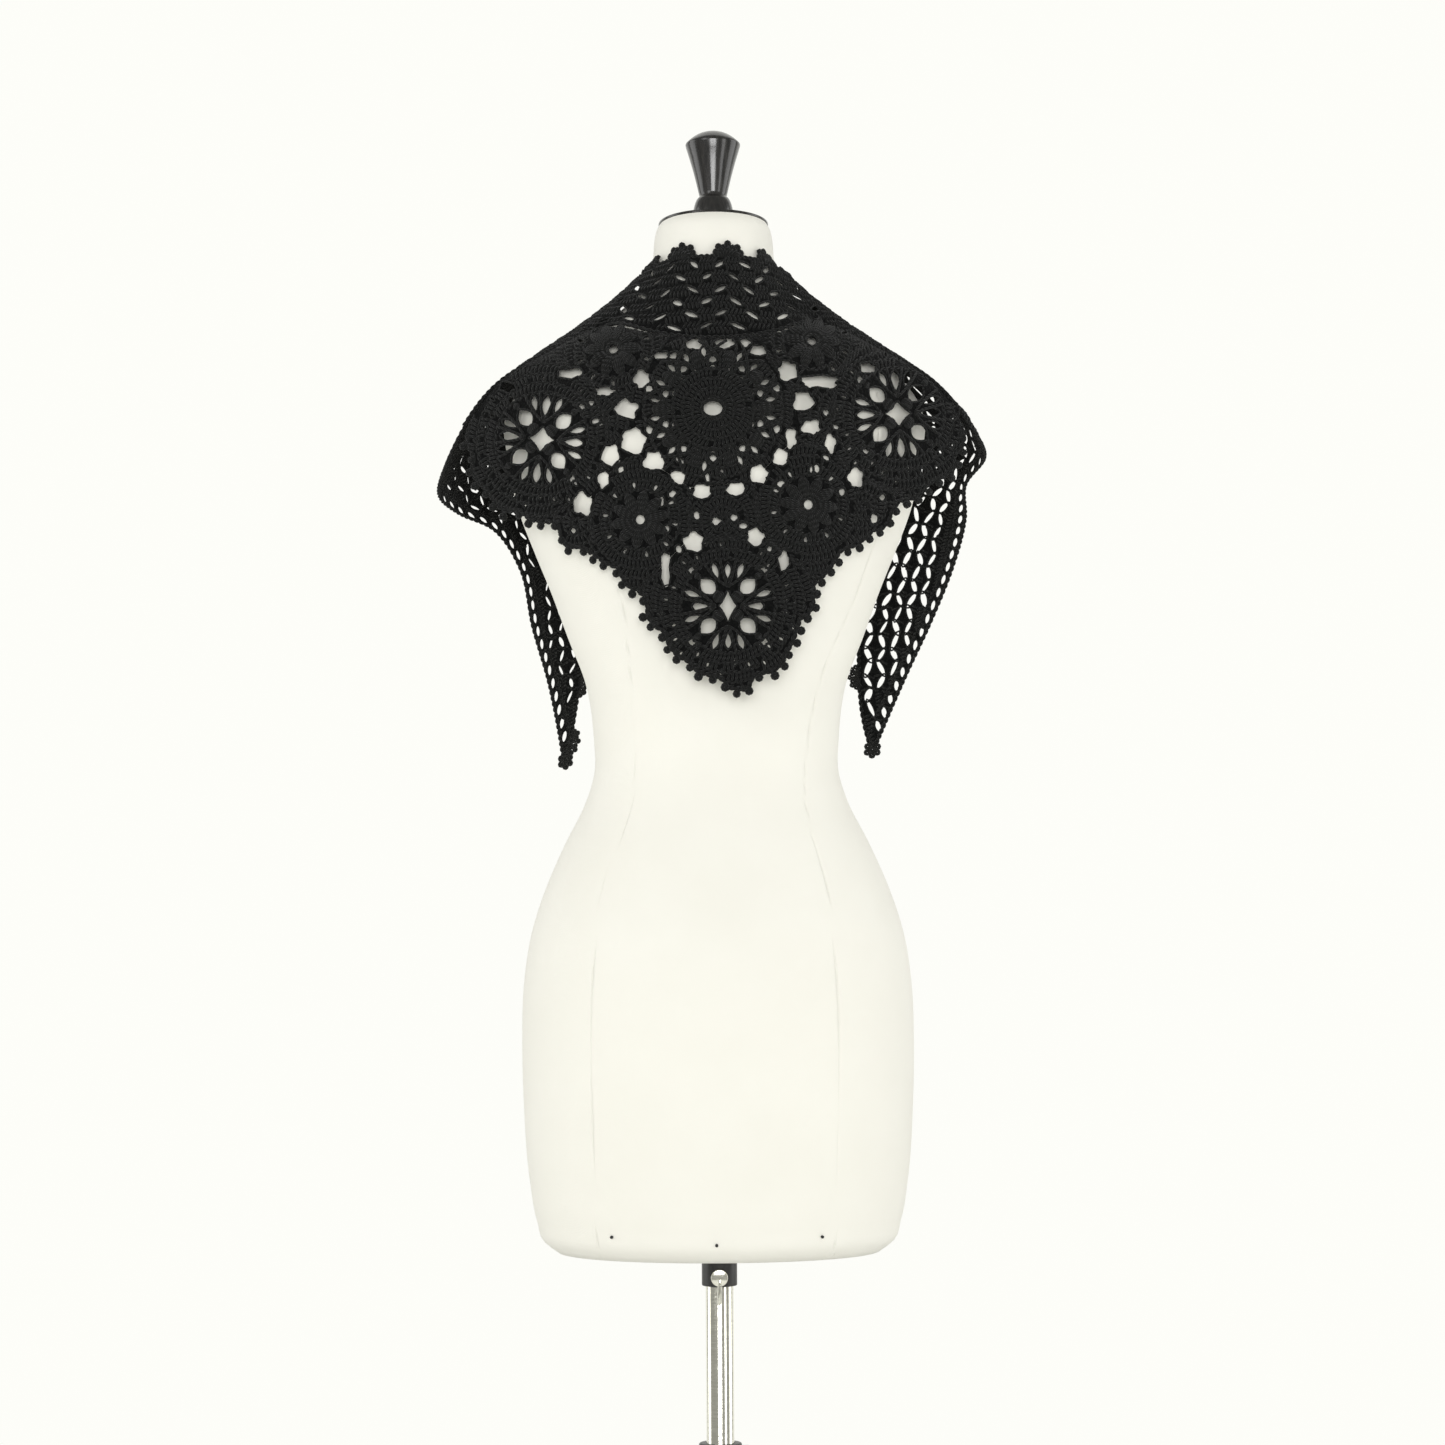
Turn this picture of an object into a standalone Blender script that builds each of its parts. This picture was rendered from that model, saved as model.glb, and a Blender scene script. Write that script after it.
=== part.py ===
"""A black crochet lace shawl draped over a limbless dress form on a stand.

Metres, +Z up. The origin is on the floor under the pole. The form's back faces -Y, and the
wearer's left is at -X. The shawl is a neck band with two hanging ends, and a back panel
that is crocheted motif by motif and joined along short seams.
"""

import math

import bmesh
import bpy
import numpy as np
from mathutils import Matrix, Vector
from mathutils.geometry import delaunay_2d_cdt

# Driving dimensions of the cloth
WALL = 0.0022
SEAM_GAP = 0.0003
BAND_GAP = 0.0009
REST_CLEARANCE = 0.0011
GRID_STEP = 0.019
GRID_MARGIN = 0.0045

# Driving dimensions of the dress form
FORM_SIDES = 34
SHOULDER_RINGS = (1.3675, 1.3925, 1.410, 1.430, 1.450, 1.478)
SECTION_POWER = 2.1
NECK_TOP = 1.496
CAP_TILT = math.radians(10.0)
CAP_RADIUS = 0.047
CAP_THICK = 0.003
KNOB_RADIUS = 0.0236
KNOB_LENGTH = 0.0810
KNOB_DOME = 0.0110
KNOB_NECK = 0.0117
KNOB_FOOT = 0.0178
KNOB_FOOT_HEIGHT = 0.0225
KNOB_WAIST = (0.0155, 0.0375)
FIT_GAP = 0.0003
SMALL_EDGE = 0.0010

# Driving dimensions of the stand
BASE_RADIUS = 0.175
BASE_RIM = 0.010
BASE_TOP = 0.017
BASE_HUB_TOP = 0.050
TUBE_RADIUS = 0.0150
TUBE_BORE = 0.0123
TUBE_TOP = 0.4347
HUB_RADIUS = 0.0185
HUB_BOTTOM = 0.4200
HUB_TOP = 0.4530
POLE_RADIUS = 0.0120
POLE_BOTTOM = 0.1700
SOCKET_RADIUS = 0.0152
SOCKET_BOTTOM = 0.5880
SOCKET_TOP = 0.6177
SOCKET_BORE_TOP = 0.6080
BASE_HUB_RADIUS = 0.0230
BASE_BORE_FLOOR = 0.0060
COLLAR_SCREW_Z = 0.5965
CLAMP_SCREW_Z = 0.4430
PIN_HEIGHT = 0.6340
PINS = (("pin_left", -0.1010), ("pin_middle", -0.0020), ("pin_right", 0.0960))

# Round bars of the screws and pins: radius, length, sides
SCREW_RADIUS = 0.0030
SCREW_HOLE = (0.0033, 0.0120, 16)
SOCKET_BOSS = (0.0060, 0.0060, 20)
COLLAR_HEAD = (0.00735, 0.0030, 24)
COLLAR_LEVER = (0.0019, 0.0220, 10)
HUB_BOSS = (0.0075, 0.0090, 20)
HUB_HOLE = (0.0033, 0.0200, 16)
CLAMP_GRIP = (0.0065, 0.0110, 20)
CLAMP_WING = (0.0140, 0.0300, 0.0050)
PIN_SIZE = (0.0012, 0.0016, 8)
PIN_SEAT = 0.0010

# Height, half width, depth behind the axis and depth in front of it, from the bottom edge up
FORM_SECTIONS = (
    (0.618, 0.1380, 0.1020, 0.0930),
    (0.626, 0.1490, 0.1120, 0.1030),
    (0.644, 0.1560, 0.1180, 0.1080),
    (0.678, 0.1620, 0.1230, 0.1115),
    (0.747, 0.1670, 0.1290, 0.1145),
    (0.798, 0.1680, 0.1300, 0.1150),
    (0.850, 0.1660, 0.1270, 0.1130),
    (0.893, 0.1590, 0.1200, 0.1100),
    (0.927, 0.1480, 0.1110, 0.1060),
    (0.966, 0.1310, 0.1000, 0.1010),
    (1.004, 0.1120, 0.0890, 0.0965),
    (1.030, 0.1045, 0.0850, 0.0950),
    (1.056, 0.1050, 0.0860, 0.0970),
    (1.107, 0.1125, 0.0930, 0.1060),
    (1.142, 0.1260, 0.0990, 0.1200),
    (1.183, 0.1410, 0.1070, 0.1380),
    (1.215, 0.1540, 0.1120, 0.1450),
    (1.252, 0.1680, 0.1150, 0.1380),
    (1.300, 0.1780, 0.1140, 0.1150),
    (1.330, 0.1800, 0.1080, 0.0960),
    (1.350, 0.1720, 0.1020, 0.0850),
    (1.370, 0.1545, 0.0950, 0.0740),
    (1.385, 0.1340, 0.0880, 0.0670),
    (1.400, 0.1110, 0.0800, 0.0600),
    (1.420, 0.0850, 0.0720, 0.0540),
    (1.440, 0.0640, 0.0640, 0.0500),
    (1.460, 0.0535, 0.0590, 0.0460),
    (1.484, 0.0505, 0.0555, 0.0445),
    (1.491, 0.0492, 0.0530, 0.0440),
    (1.496, 0.0465, 0.0480, 0.0425),
)

# Sections across the band from the nape to each tip:
# neck edge x, y, z, outer edge x, y, z, and how far the middle is rounded out
LEFT_SECTIONS = (
    (-0.034, -0.052, 1.464, -0.048, -0.072, 1.399, 0.000),
    (-0.056, -0.030, 1.456, -0.092, -0.036, 1.407, 0.000),
    (-0.071, 0.000, 1.444, -0.140, -0.024, 1.387, 0.000),
    (-0.095, 0.024, 1.415, -0.182, -0.030, 1.361, 0.004),
    (-0.130, 0.040, 1.388, -0.211, -0.030, 1.326, 0.010),
    (-0.158, 0.052, 1.364, -0.230, -0.012, 1.290, 0.014),
    (-0.174, 0.070, 1.334, -0.237, 0.022, 1.268, 0.012),
    (-0.164, 0.094, 1.304, -0.222, 0.052, 1.254, 0.008),
    (-0.142, 0.112, 1.272, -0.192, 0.074, 1.240, 0.004),
    (-0.126, 0.122, 1.224, -0.170, 0.086, 1.206, 0.003),
    (-0.118, 0.126, 1.166, -0.160, 0.094, 1.156, 0.003),
    (-0.119, 0.126, 1.112, -0.147, 0.104, 1.108, 0.002),
    (-0.126, 0.124, 1.064, -0.1385, 0.114, 1.062, 0.000),
    (-0.1295, 0.122, 1.042, -0.1355, 0.118, 1.041, 0.000),
)
NAPE_SECTION = (0.000, -0.064, 1.466, 0.000, -0.092, 1.394, 0.000)
RIGHT_SECTIONS = (
    (0.034, -0.052, 1.464, 0.048, -0.072, 1.399, 0.000),
    (0.056, -0.030, 1.456, 0.092, -0.036, 1.408, 0.000),
    (0.071, 0.000, 1.444, 0.140, -0.024, 1.388, 0.000),
    (0.095, 0.024, 1.415, 0.180, -0.030, 1.364, 0.004),
    (0.128, 0.040, 1.390, 0.206, -0.028, 1.338, 0.010),
    (0.152, 0.052, 1.370, 0.225, -0.008, 1.314, 0.014),
    (0.168, 0.070, 1.342, 0.232, 0.024, 1.298, 0.012),
    (0.164, 0.094, 1.306, 0.217, 0.054, 1.276, 0.006),
    (0.148, 0.112, 1.266, 0.218, 0.076, 1.248, 0.003),
    (0.136, 0.121, 1.212, 0.208, 0.088, 1.208, 0.003),
    (0.127, 0.125, 1.160, 0.189, 0.099, 1.160, 0.003),
    (0.1245, 0.125, 1.112, 0.167, 0.110, 1.112, 0.002),
    (0.129, 0.123, 1.068, 0.148, 0.117, 1.068, 0.000),
    (0.1335, 0.121, 1.050, 0.1405, 0.119, 1.050, 0.000),
)
CORNER_SECTION = 5

# How far behind the axis the panel hangs, by the distance from its middle
PANEL_DEPTHS = (
    (0.000, 0.1195),
    (0.050, 0.1140),
    (0.100, 0.0990),
    (0.150, 0.0740),
    (0.190, 0.0500),
    (0.240, 0.0240),
)
SHOULDER_DROP = 0.085
REGION_REACH = 0.300
REGION_TOP = 1.600

# Motifs of the back panel: name, kind, middle x and z, reach, turn in degrees
MOTIFS = (
    ("medallion", "medallion", -0.0010, 1.3327, 0.0670, 0.0),
    ("flower_left", "flower", -0.1447, 1.3106, 0.0655, -8.0),
    ("flower_right", "flower", 0.1543, 1.3306, 0.0655, 4.0),
    ("flower_tip", "flower", 0.0105, 1.1684, 0.0670, 0.0),
    ("daisy_upper_left", "daisy", -0.0840, 1.3846, 0.0430, 0.0),
    ("daisy_upper_right", "daisy", 0.0820, 1.3908, 0.0430, 0.0),
    ("daisy_lower_left", "daisy", -0.0619, 1.2411, 0.0470, 0.0),
    ("daisy_lower_right", "daisy", 0.0778, 1.2529, 0.0480, 0.0),
    ("rosette_left", "rosette", -0.0990, 1.3250, 0.0350, 0.0),
    ("rosette_right", "rosette", 0.1059, 1.3315, 0.0350, 0.0),
    ("rosette_centre", "rosette", 0.0075, 1.2403, 0.0360, 0.0),
    ("shell_left", "rosette", -0.1150, 1.2400, 0.0260, 0.0),
    ("shell_right", "rosette", 0.1240, 1.2530, 0.0260, 0.0),
)

# The panel's free edge from the left fold over its tip to the right fold: x, z
PANEL_EDGE = (
    (-0.2080, 1.3300),
    (-0.2080, 1.3106),
    (-0.2050, 1.2880),
    (-0.1930, 1.2660),
    (-0.1750, 1.2510),
    (-0.1330, 1.2380),
    (-0.1230, 1.2210),
    (-0.0960, 1.2110),
    (-0.0600, 1.1760),
    (-0.0520, 1.1540),
    (-0.0220, 1.1170),
    (-0.0020, 1.1110),
    (0.0080, 1.1005),
    (0.0260, 1.0995),
    (0.0370, 1.1110),
    (0.0580, 1.1210),
    (0.0650, 1.1450),
    (0.0780, 1.1620),
    (0.0820, 1.1800),
    (0.0950, 1.2020),
    (0.1190, 1.2230),
    (0.1400, 1.2330),
    (0.1480, 1.2490),
    (0.1850, 1.2730),
    (0.2010, 1.2860),
    (0.2122, 1.3000),
    (0.2190, 1.3200),
    (0.2190, 1.3400),
)
PANEL_TOP = 1.450

# Star gaps where motifs meet: x, z, width, height
STAR_GAPS = (
    (-0.0605, 1.3591, 0.0130, 0.0150),
    (-0.0731, 1.3331, 0.0185, 0.0165),
    (-0.0674, 1.3072, 0.0210, 0.0195),
    (-0.0867, 1.2955, 0.0145, 0.0165),
    (-0.0508, 1.2897, 0.0165, 0.0165),
    (-0.0926, 1.2746, 0.0090, 0.0130),
    (-0.1103, 1.2554, 0.0155, 0.0195),
    (-0.0906, 1.3490, 0.0145, 0.0080),
    (-0.1214, 1.3657, 0.0215, 0.0090),
    (-0.1741, 1.3560, 0.0125, 0.0085),
    (-0.0446, 1.3783, 0.0135, 0.0070),
    (-0.0161, 1.3875, 0.0145, 0.0095),
    (0.0090, 1.3880, 0.0160, 0.0095),
    (0.0266, 1.3890, 0.0075, 0.0075),
    (0.0367, 1.3816, 0.0135, 0.0090),
    (0.0618, 1.3649, 0.0165, 0.0160),
    (0.0885, 1.3560, 0.0300, 0.0110),
    (0.0743, 1.3390, 0.0175, 0.0155),
    (0.0809, 1.3172, 0.0155, 0.0125),
    (0.0640, 1.3080, 0.0090, 0.0160),
    (0.0965, 1.3040, 0.0090, 0.0145),
    (0.0545, 1.2925, 0.0125, 0.0135),
    (0.0371, 1.2780, 0.0145, 0.0150),
    (0.0178, 1.2654, 0.0145, 0.0110),
    (-0.0107, 1.2637, 0.0145, 0.0120),
    (-0.0307, 1.2755, 0.0110, 0.0105),
    (-0.0181, 1.2219, 0.0155, 0.0155),
    (0.0334, 1.2261, 0.0140, 0.0135),
    (-0.0412, 1.2002, 0.0085, 0.0260),
    (0.0567, 1.2060, 0.0085, 0.0155),
    (0.1180, 1.2758, 0.0130, 0.0150),
    (0.1290, 1.3690, 0.0130, 0.0090),
)

# Sizes of the openwork inside a flower, from its middle out
FLOWER_CENTRE = 0.0100
TEARDROP_RING = 0.0210
TEARDROP_SIZE = (0.0120, 0.0115)
PETAL_RING = 0.0285
PETAL_SIZE = (0.0160, 0.0070)
OUTER_PETAL_RING = 0.0315
OUTER_PETAL_SIZE = (0.0120, 0.0046)
OUTER_PETAL_ANGLE = math.radians(22.5)

# Sizes of the openwork inside the medallion and the daisies
MEDALLION_EYE = 0.0060
MEDALLION_RING = 0.0485
MEDALLION_GAPS = 12
MEDALLION_GAP_SIZE = (0.0075, 0.0080)
DAISY_EYE = 0.0026

# The band's diamond mesh, ladder edge and picots
DIAMOND_ALONG = 0.0250
DIAMOND_ACROSS = 0.0230
SLIT_SIZE = (0.0115, 0.0046)
SLIT_MARGIN = 0.0100
LADDER_PITCH = 0.0122
LADDER_SIZE = (0.0088, 0.0044)
LADDER_INSET = 0.0075
LADDER_LEAST_WIDTH = 0.030
SLIT_LEAST_WIDTH = 0.034
BACK_SLITS_REACH = 0.038
HANGING_SECTION = 8
PICOT_PITCH = 0.050
FIRST_FAN = 0.0155
PICOT_FAN_MARGIN = 0.014
RIM_PICOT_PITCH = 0.0095
RIM_PICOT_HEIGHT = 0.0028
EDGE_STEP = 0.014

# One picot fan of the neck edge: distance along it, height above it
PICOT_FAN = (
    (-0.0125, 0.0000),
    (-0.0115, 0.0060),
    (-0.0050, 0.0095),
    (0.0050, 0.0095),
    (0.0115, 0.0060),
    (0.0125, 0.0000),
)

COLLECTION = "lace_shawl_on_dress_form"


def clear_scene():
    """Start from an empty scene."""
    for obj in list(bpy.data.objects):
        bpy.data.objects.remove(obj, do_unlink=True)


def make_collections():
    """One collection for the parts and one for the cutters."""
    parts = bpy.data.collections.new(COLLECTION)
    cutters = bpy.data.collections.new("cutters")
    bpy.context.scene.collection.children.link(parts)
    bpy.context.scene.collection.children.link(cutters)
    cutters.hide_render = True
    return parts, cutters


def make_material(name, colour, roughness, metallic=0.0):
    """A Principled material with one colour."""
    material = bpy.data.materials.new(name)
    material.use_nodes = True
    shader = material.node_tree.nodes["Principled BSDF"]
    shader.inputs["Base Color"].default_value = (*colour, 1.0)
    shader.inputs["Roughness"].default_value = roughness
    shader.inputs["Metallic"].default_value = metallic
    return material


def make_materials():
    """The finishes of the cloth, the form and the stand."""
    return {
        "cotton": make_material("black_cotton", (0.012, 0.013, 0.014), 0.9),
        "cover": make_material("ivory_cover", (0.86, 0.85, 0.80), 0.85),
        "lacquer": make_material("black_lacquer", (0.012, 0.012, 0.012), 0.18),
        "black_metal": make_material("black_metal", (0.015, 0.015, 0.016), 0.35, 0.6),
        "chrome": make_material("chrome", (0.72, 0.71, 0.68), 0.12, 1.0),
        "pin": make_material("dark_pin", (0.05, 0.05, 0.05), 0.4, 0.8),
    }


def finish(obj, material):
    """Give an object its finish and shade its round faces smooth."""
    obj.data.materials.clear()
    obj.data.materials.append(material)
    obj.data.shade_smooth()
    obj.data.set_sharp_from_angle(angle=math.radians(35.0))
    return obj


def object_from(bm, name, collection, material):
    """Turn a bmesh into a named object."""
    mesh = bpy.data.meshes.new(name)
    bm.to_mesh(mesh)
    bm.free()
    obj = bpy.data.objects.new(name, mesh)
    collection.objects.link(obj)
    return finish(obj, material)


def smooth_value(places, values, at):
    """Read a table between its rows along a smooth cubic."""
    places = np.asarray(places, float)
    values = np.asarray(values, float)
    at = np.clip(np.asarray(at, float), places[0], places[-1])
    row = np.clip(np.searchsorted(places, at, side="right") - 1, 0, len(places) - 2)
    step = places[row + 1] - places[row]
    part = (at - places[row]) / step
    slopes = np.gradient(values, places, axis=0)
    if values.ndim > 1:
        step = step[..., None]
        part = part[..., None]
    start = values[row] * (2 * part**3 - 3 * part**2 + 1)
    start = start + slopes[row] * step * (part**3 - 2 * part**2 + part)
    end = values[row + 1] * (3 * part**2 - 2 * part**3)
    end = end + slopes[row + 1] * step * (part**3 - part**2)
    return start + end


SECTION_TABLE = np.array(FORM_SECTIONS)
TILT_HEIGHTS = (0.0, 1.430, 1.455, NECK_TOP, 2.0)
TILT_SLOPES = (0.0, 0.0, 0.15, math.tan(CAP_TILT), math.tan(CAP_TILT))


def form_section(height):
    """Half width, back depth, front depth and backward rise of the form's ring at a height."""
    sizes = smooth_value(SECTION_TABLE[:, 0], SECTION_TABLE[:, 1:], height)
    rise = np.interp(height, TILT_HEIGHTS, TILT_SLOPES)
    return sizes[..., 0], sizes[..., 1], sizes[..., 2], rise


def form_excess(points):
    """How far each point lies outside the form, measured level."""
    x, y, z = points[:, 0], points[:, 1], points[:, 2]
    ring = z + np.interp(z, TILT_HEIGHTS, TILT_SLOPES) * y
    width, back, front, _ = form_section(ring)
    depth = np.where(y < 0.0, back, front)
    norm = (np.abs(x) / width) ** SECTION_POWER + (np.abs(y) / depth) ** SECTION_POWER
    norm = np.maximum(norm, 1e-9) ** (1.0 / SECTION_POWER)
    return np.hypot(x, y) * (1.0 - 1.0 / norm)


def form_outward(points, reach=0.002):
    """Gradient of the excess at each point."""
    steps = np.eye(3) * reach
    columns = [form_excess(points + step) - form_excess(points - step) for step in steps]
    return np.stack(columns, axis=1) / (2.0 * reach)


def unit_outward(points):
    """The unit direction that leads away from the form."""
    gradient = form_outward(points)
    return gradient / np.linalg.norm(gradient, axis=1, keepdims=True)


def lifted(points, clearance=REST_CLEARANCE, least_push=0.0, rounds=8):
    """Move the points that are too near the form out to the clearance."""
    points = points.copy()
    for _ in range(rounds):
        gradient = form_outward(points)
        slope = np.linalg.norm(gradient, axis=1)
        distance = form_excess(points) / slope
        push = np.maximum(clearance - distance, least_push)
        points += gradient / slope[:, None] * push[:, None]
    return points


def seated(points, clearance):
    """Move points in or out until they lie at the clearance from the form."""
    return lifted(points, clearance, -np.inf)


def band_sections():
    """All sections from the left tip to the right tip, with their places along the band."""
    rows = np.array(LEFT_SECTIONS[::-1] + (NAPE_SECTION,) + RIGHT_SECTIONS)
    middles = (rows[:, 0:3] + rows[:, 3:6]) / 2.0
    steps = np.linalg.norm(np.diff(middles, axis=0), axis=1)
    places = np.concatenate([[0.0], np.cumsum(steps)])
    places -= places[len(LEFT_SECTIONS)]
    return places, rows


BAND_PLACES, BAND_ROWS = band_sections()
LEFT_CORNER = BAND_PLACES[len(LEFT_SECTIONS) - CORNER_SECTION]
RIGHT_CORNER = BAND_PLACES[len(LEFT_SECTIONS) + CORNER_SECTION]
LEFT_HANGING = BAND_PLACES[len(LEFT_SECTIONS) - HANGING_SECTION]
RIGHT_HANGING = BAND_PLACES[len(LEFT_SECTIONS) + HANGING_SECTION]


def band_width(along):
    """Distance from the neck edge to the outer edge."""
    rows = smooth_value(BAND_PLACES, BAND_ROWS, along)
    return np.linalg.norm(rows[..., 3:6] - rows[..., 0:3], axis=-1)


def band_surface(chart):
    """Points on the draped band, from places along it and distances from its neck edge."""
    rows = smooth_value(BAND_PLACES, BAND_ROWS, chart[:, 0])
    neck, edge, bulge = rows[:, 0:3], rows[:, 3:6], rows[:, 6]
    across = chart[:, 1] / np.linalg.norm(edge - neck, axis=1)
    points = neck + (edge - neck) * across[:, None]
    inside = np.clip(across, 0.0, 1.0)
    rounding = bulge * 4.0 * inside * (1.0 - inside)
    return lifted(points + unit_outward(points) * rounding[:, None])


def panel_top(x):
    """Depth and height of the band's outer edge above the panel."""
    first = len(LEFT_SECTIONS) - CORNER_SECTION
    rows = BAND_ROWS[first : len(LEFT_SECTIONS) + CORNER_SECTION + 1]
    edge = smooth_value(rows[:, 3], rows[:, 4:6], x)
    return edge[..., 0], edge[..., 1]


def panel_surface(chart):
    """Points on the draped panel, from their places as seen from behind."""
    x, z = chart[:, 0], chart[:, 1]
    top_y, top_z = panel_top(x)
    depths = np.array(PANEL_DEPTHS)
    full = smooth_value(depths[:, 0], depths[:, 1], np.abs(x))
    fall = np.clip((top_z - z) / SHOULDER_DROP, 0.0, 1.0)
    round_over = np.sqrt(1.0 - (1.0 - fall) ** 2)
    y = top_y - (full + top_y) * round_over
    return lifted(np.stack([x, y, z], axis=1))


def ring_points(x, y, reach_along, reach_across, turn, count, inner=1.0):
    """A closed outline round (x, y); with inner under 1 every second point is drawn in."""
    points = []
    for index in range(count):
        angle = math.tau * index / count
        scale = inner if index % 2 else 1.0
        along = math.cos(angle) * reach_along * scale
        across = math.sin(angle) * reach_across * scale
        points.append(
            (
                x + along * math.cos(turn) - across * math.sin(turn),
                y + along * math.sin(turn) + across * math.cos(turn),
            )
        )
    return points


def star_gap(x, z, width, height):
    """A star-shaped gap, with its arms towards the joins round it."""
    arms = 5 if width > 0.012 else 4
    turn = math.radians(18.0) if arms == 5 else 0.0
    outline = ring_points(0.0, 0.0, 0.58, 0.58, turn, 2 * arms, 0.66)
    return [(x + px * width, z + pz * height) for px, pz in outline]


def round_the_middle(x, z, turn, radius, angle, size, count, inner=1.0):
    """A long gap that points at the middle of its motif."""
    direction = turn + angle
    middle_x = x + radius * math.cos(direction)
    middle_z = z + radius * math.sin(direction)
    return ring_points(middle_x, middle_z, size[0] / 2.0, size[1] / 2.0, direction, count, inner)


def flower_gaps(x, z, turn):
    """The openwork of a flower: its eye, four teardrops and twelve slender petals."""
    gaps = [ring_points(x, z, FLOWER_CENTRE, FLOWER_CENTRE, turn, 8, 0.6)]
    for quarter in range(4):
        axis = quarter * math.pi / 2.0
        diagonal = axis + math.pi / 4.0
        gaps.append(round_the_middle(x, z, turn, TEARDROP_RING, diagonal, TEARDROP_SIZE, 6))
        gaps.append(round_the_middle(x, z, turn, PETAL_RING, axis, PETAL_SIZE, 4))
        for side in (-1.0, 1.0):
            angle = axis + side * OUTER_PETAL_ANGLE
            gaps.append(round_the_middle(x, z, turn, OUTER_PETAL_RING, angle, OUTER_PETAL_SIZE, 4))
    return gaps


def medallion_gaps(x, z, turn):
    """The medallion's round eye and its ring of three-cornered gaps."""
    gaps = [ring_points(x, z, MEDALLION_EYE, MEDALLION_EYE, turn, 8)]
    for index in range(MEDALLION_GAPS):
        angle = math.tau * (index + 0.5) / MEDALLION_GAPS
        gaps.append(round_the_middle(x, z, turn, MEDALLION_RING, angle, MEDALLION_GAP_SIZE, 3))
    return gaps


def motif_gaps(kind, x, z, turn):
    """The gaps that belong to one motif."""
    if kind == "flower":
        return flower_gaps(x, z, turn)
    if kind == "medallion":
        return medallion_gaps(x, z, turn)
    if kind == "daisy":
        return [ring_points(x, z, DAISY_EYE, DAISY_EYE, turn, 6)]
    return []


def panel_region():
    """The whole panel's outline, with small picots along its free edge."""
    corners = np.array(PANEL_EDGE)
    lengths = np.linalg.norm(np.diff(corners, axis=0), axis=1)
    places = np.concatenate([[0.0], np.cumsum(lengths)])
    at = np.linspace(0.0, places[-1], 2 * round(places[-1] / RIM_PICOT_PITCH) + 1)
    points = np.stack([np.interp(at, places, corners[:, axis]) for axis in (0, 1)], axis=1)
    along = np.gradient(points, axis=0)
    outward = np.stack([along[:, 1], -along[:, 0]], axis=1)
    outward /= np.linalg.norm(outward, axis=1, keepdims=True)
    points[1::2] += outward[1::2] * RIM_PICOT_HEIGHT
    edge = [(float(x), float(z)) for x, z in points]
    return edge + [(edge[-1][0], PANEL_TOP), (edge[0][0], PANEL_TOP)]


def with_short_edges(outline):
    """The outline, with points added where an edge is long."""
    points = []
    for start, end in zip(outline, outline[1:] + outline[:1]):
        pieces = math.ceil(math.dist(start, end) / EDGE_STEP)
        for index in range(max(pieces, 1)):
            share = index / max(pieces, 1)
            across = start[0] + (end[0] - start[0]) * share
            points.append((across, start[1] + (end[1] - start[1]) * share))
    return points


def clipped(outline, point, normal):
    """Keep the part of an outline behind a line through the point."""
    kept = []
    for index, start in enumerate(outline):
        end = outline[(index + 1) % len(outline)]
        before = (start[0] - point[0]) * normal[0] + (start[1] - point[1]) * normal[1]
        after = (end[0] - point[0]) * normal[0] + (end[1] - point[1]) * normal[1]
        if before <= 0.0:
            kept.append(start)
        if (before < 0.0 < after) or (after < 0.0 < before):
            share = before / (before - after)
            across = start[0] + (end[0] - start[0]) * share
            upward = start[1] + (end[1] - start[1]) * share
            kept.append((across, upward))
    return kept


def motif_outline(motif):
    """A motif's share of the panel, cut straight where it is joined to a neighbour."""
    name, _, x, z, reach, _ = motif
    outline = panel_region()
    for other_name, _, other_x, other_z, other_reach, _ in MOTIFS:
        if other_name == name:
            continue
        apart = math.hypot(other_x - x, other_z - z)
        normal = ((other_x - x) / apart, (other_z - z) / apart)
        seam = (apart**2 + reach**2 - other_reach**2) / (2.0 * apart) - SEAM_GAP / 2.0
        outline = clipped(outline, (x + normal[0] * seam, z + normal[1] * seam), normal)
    return with_short_edges(outline)


def above_the_band():
    """The region over the panel, which belongs to the band."""
    nape = len(LEFT_SECTIONS)
    left_x = BAND_ROWS[nape - CORNER_SECTION, 3]
    right_x = BAND_ROWS[nape + CORNER_SECTION, 3]
    xs = np.linspace(-REGION_REACH, REGION_REACH, 61)
    _, heights = panel_top(np.clip(xs, left_x, right_x))
    lower = [(x, z - BAND_GAP) for x, z in zip(xs, heights)]
    return lower + [(REGION_REACH, REGION_TOP), (-REGION_REACH, REGION_TOP)]


def counter_clockwise(outline):
    """The outline, turned so that it runs counter-clockwise."""
    area = sum(
        start[0] * end[1] - end[0] * start[1]
        for start, end in zip(outline, outline[1:] + outline[:1])
    )
    return outline if area > 0.0 else outline[::-1]


def grid_points(loops, rows=()):
    """Points on an even grid that keep clear of every outline."""
    corners = np.array(loops[0])
    low, high = corners.min(axis=0), corners.max(axis=0)
    xs = np.arange(math.ceil(low[0] / GRID_STEP), high[0] / GRID_STEP) * GRID_STEP
    ys = np.arange(math.ceil(low[1] / GRID_STEP), high[1] / GRID_STEP) * GRID_STEP
    points = [(x, y) for x in xs for y in ys] + list(rows)
    if not points:
        return []
    points = np.array(points)
    nearest = np.full(len(points), np.inf)
    for loop in loops:
        starts = np.array(loop)
        ends = np.roll(starts, -1, axis=0)
        for start, end in zip(starts, ends):
            line = end - start
            share = np.clip((points - start) @ line / max(line @ line, 1e-12), 0.0, 1.0)
            gap = np.linalg.norm(points - start - share[:, None] * line, axis=1)
            nearest = np.minimum(nearest, gap)
    return [tuple(point) for point in points[nearest > GRID_MARGIN]]


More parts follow.
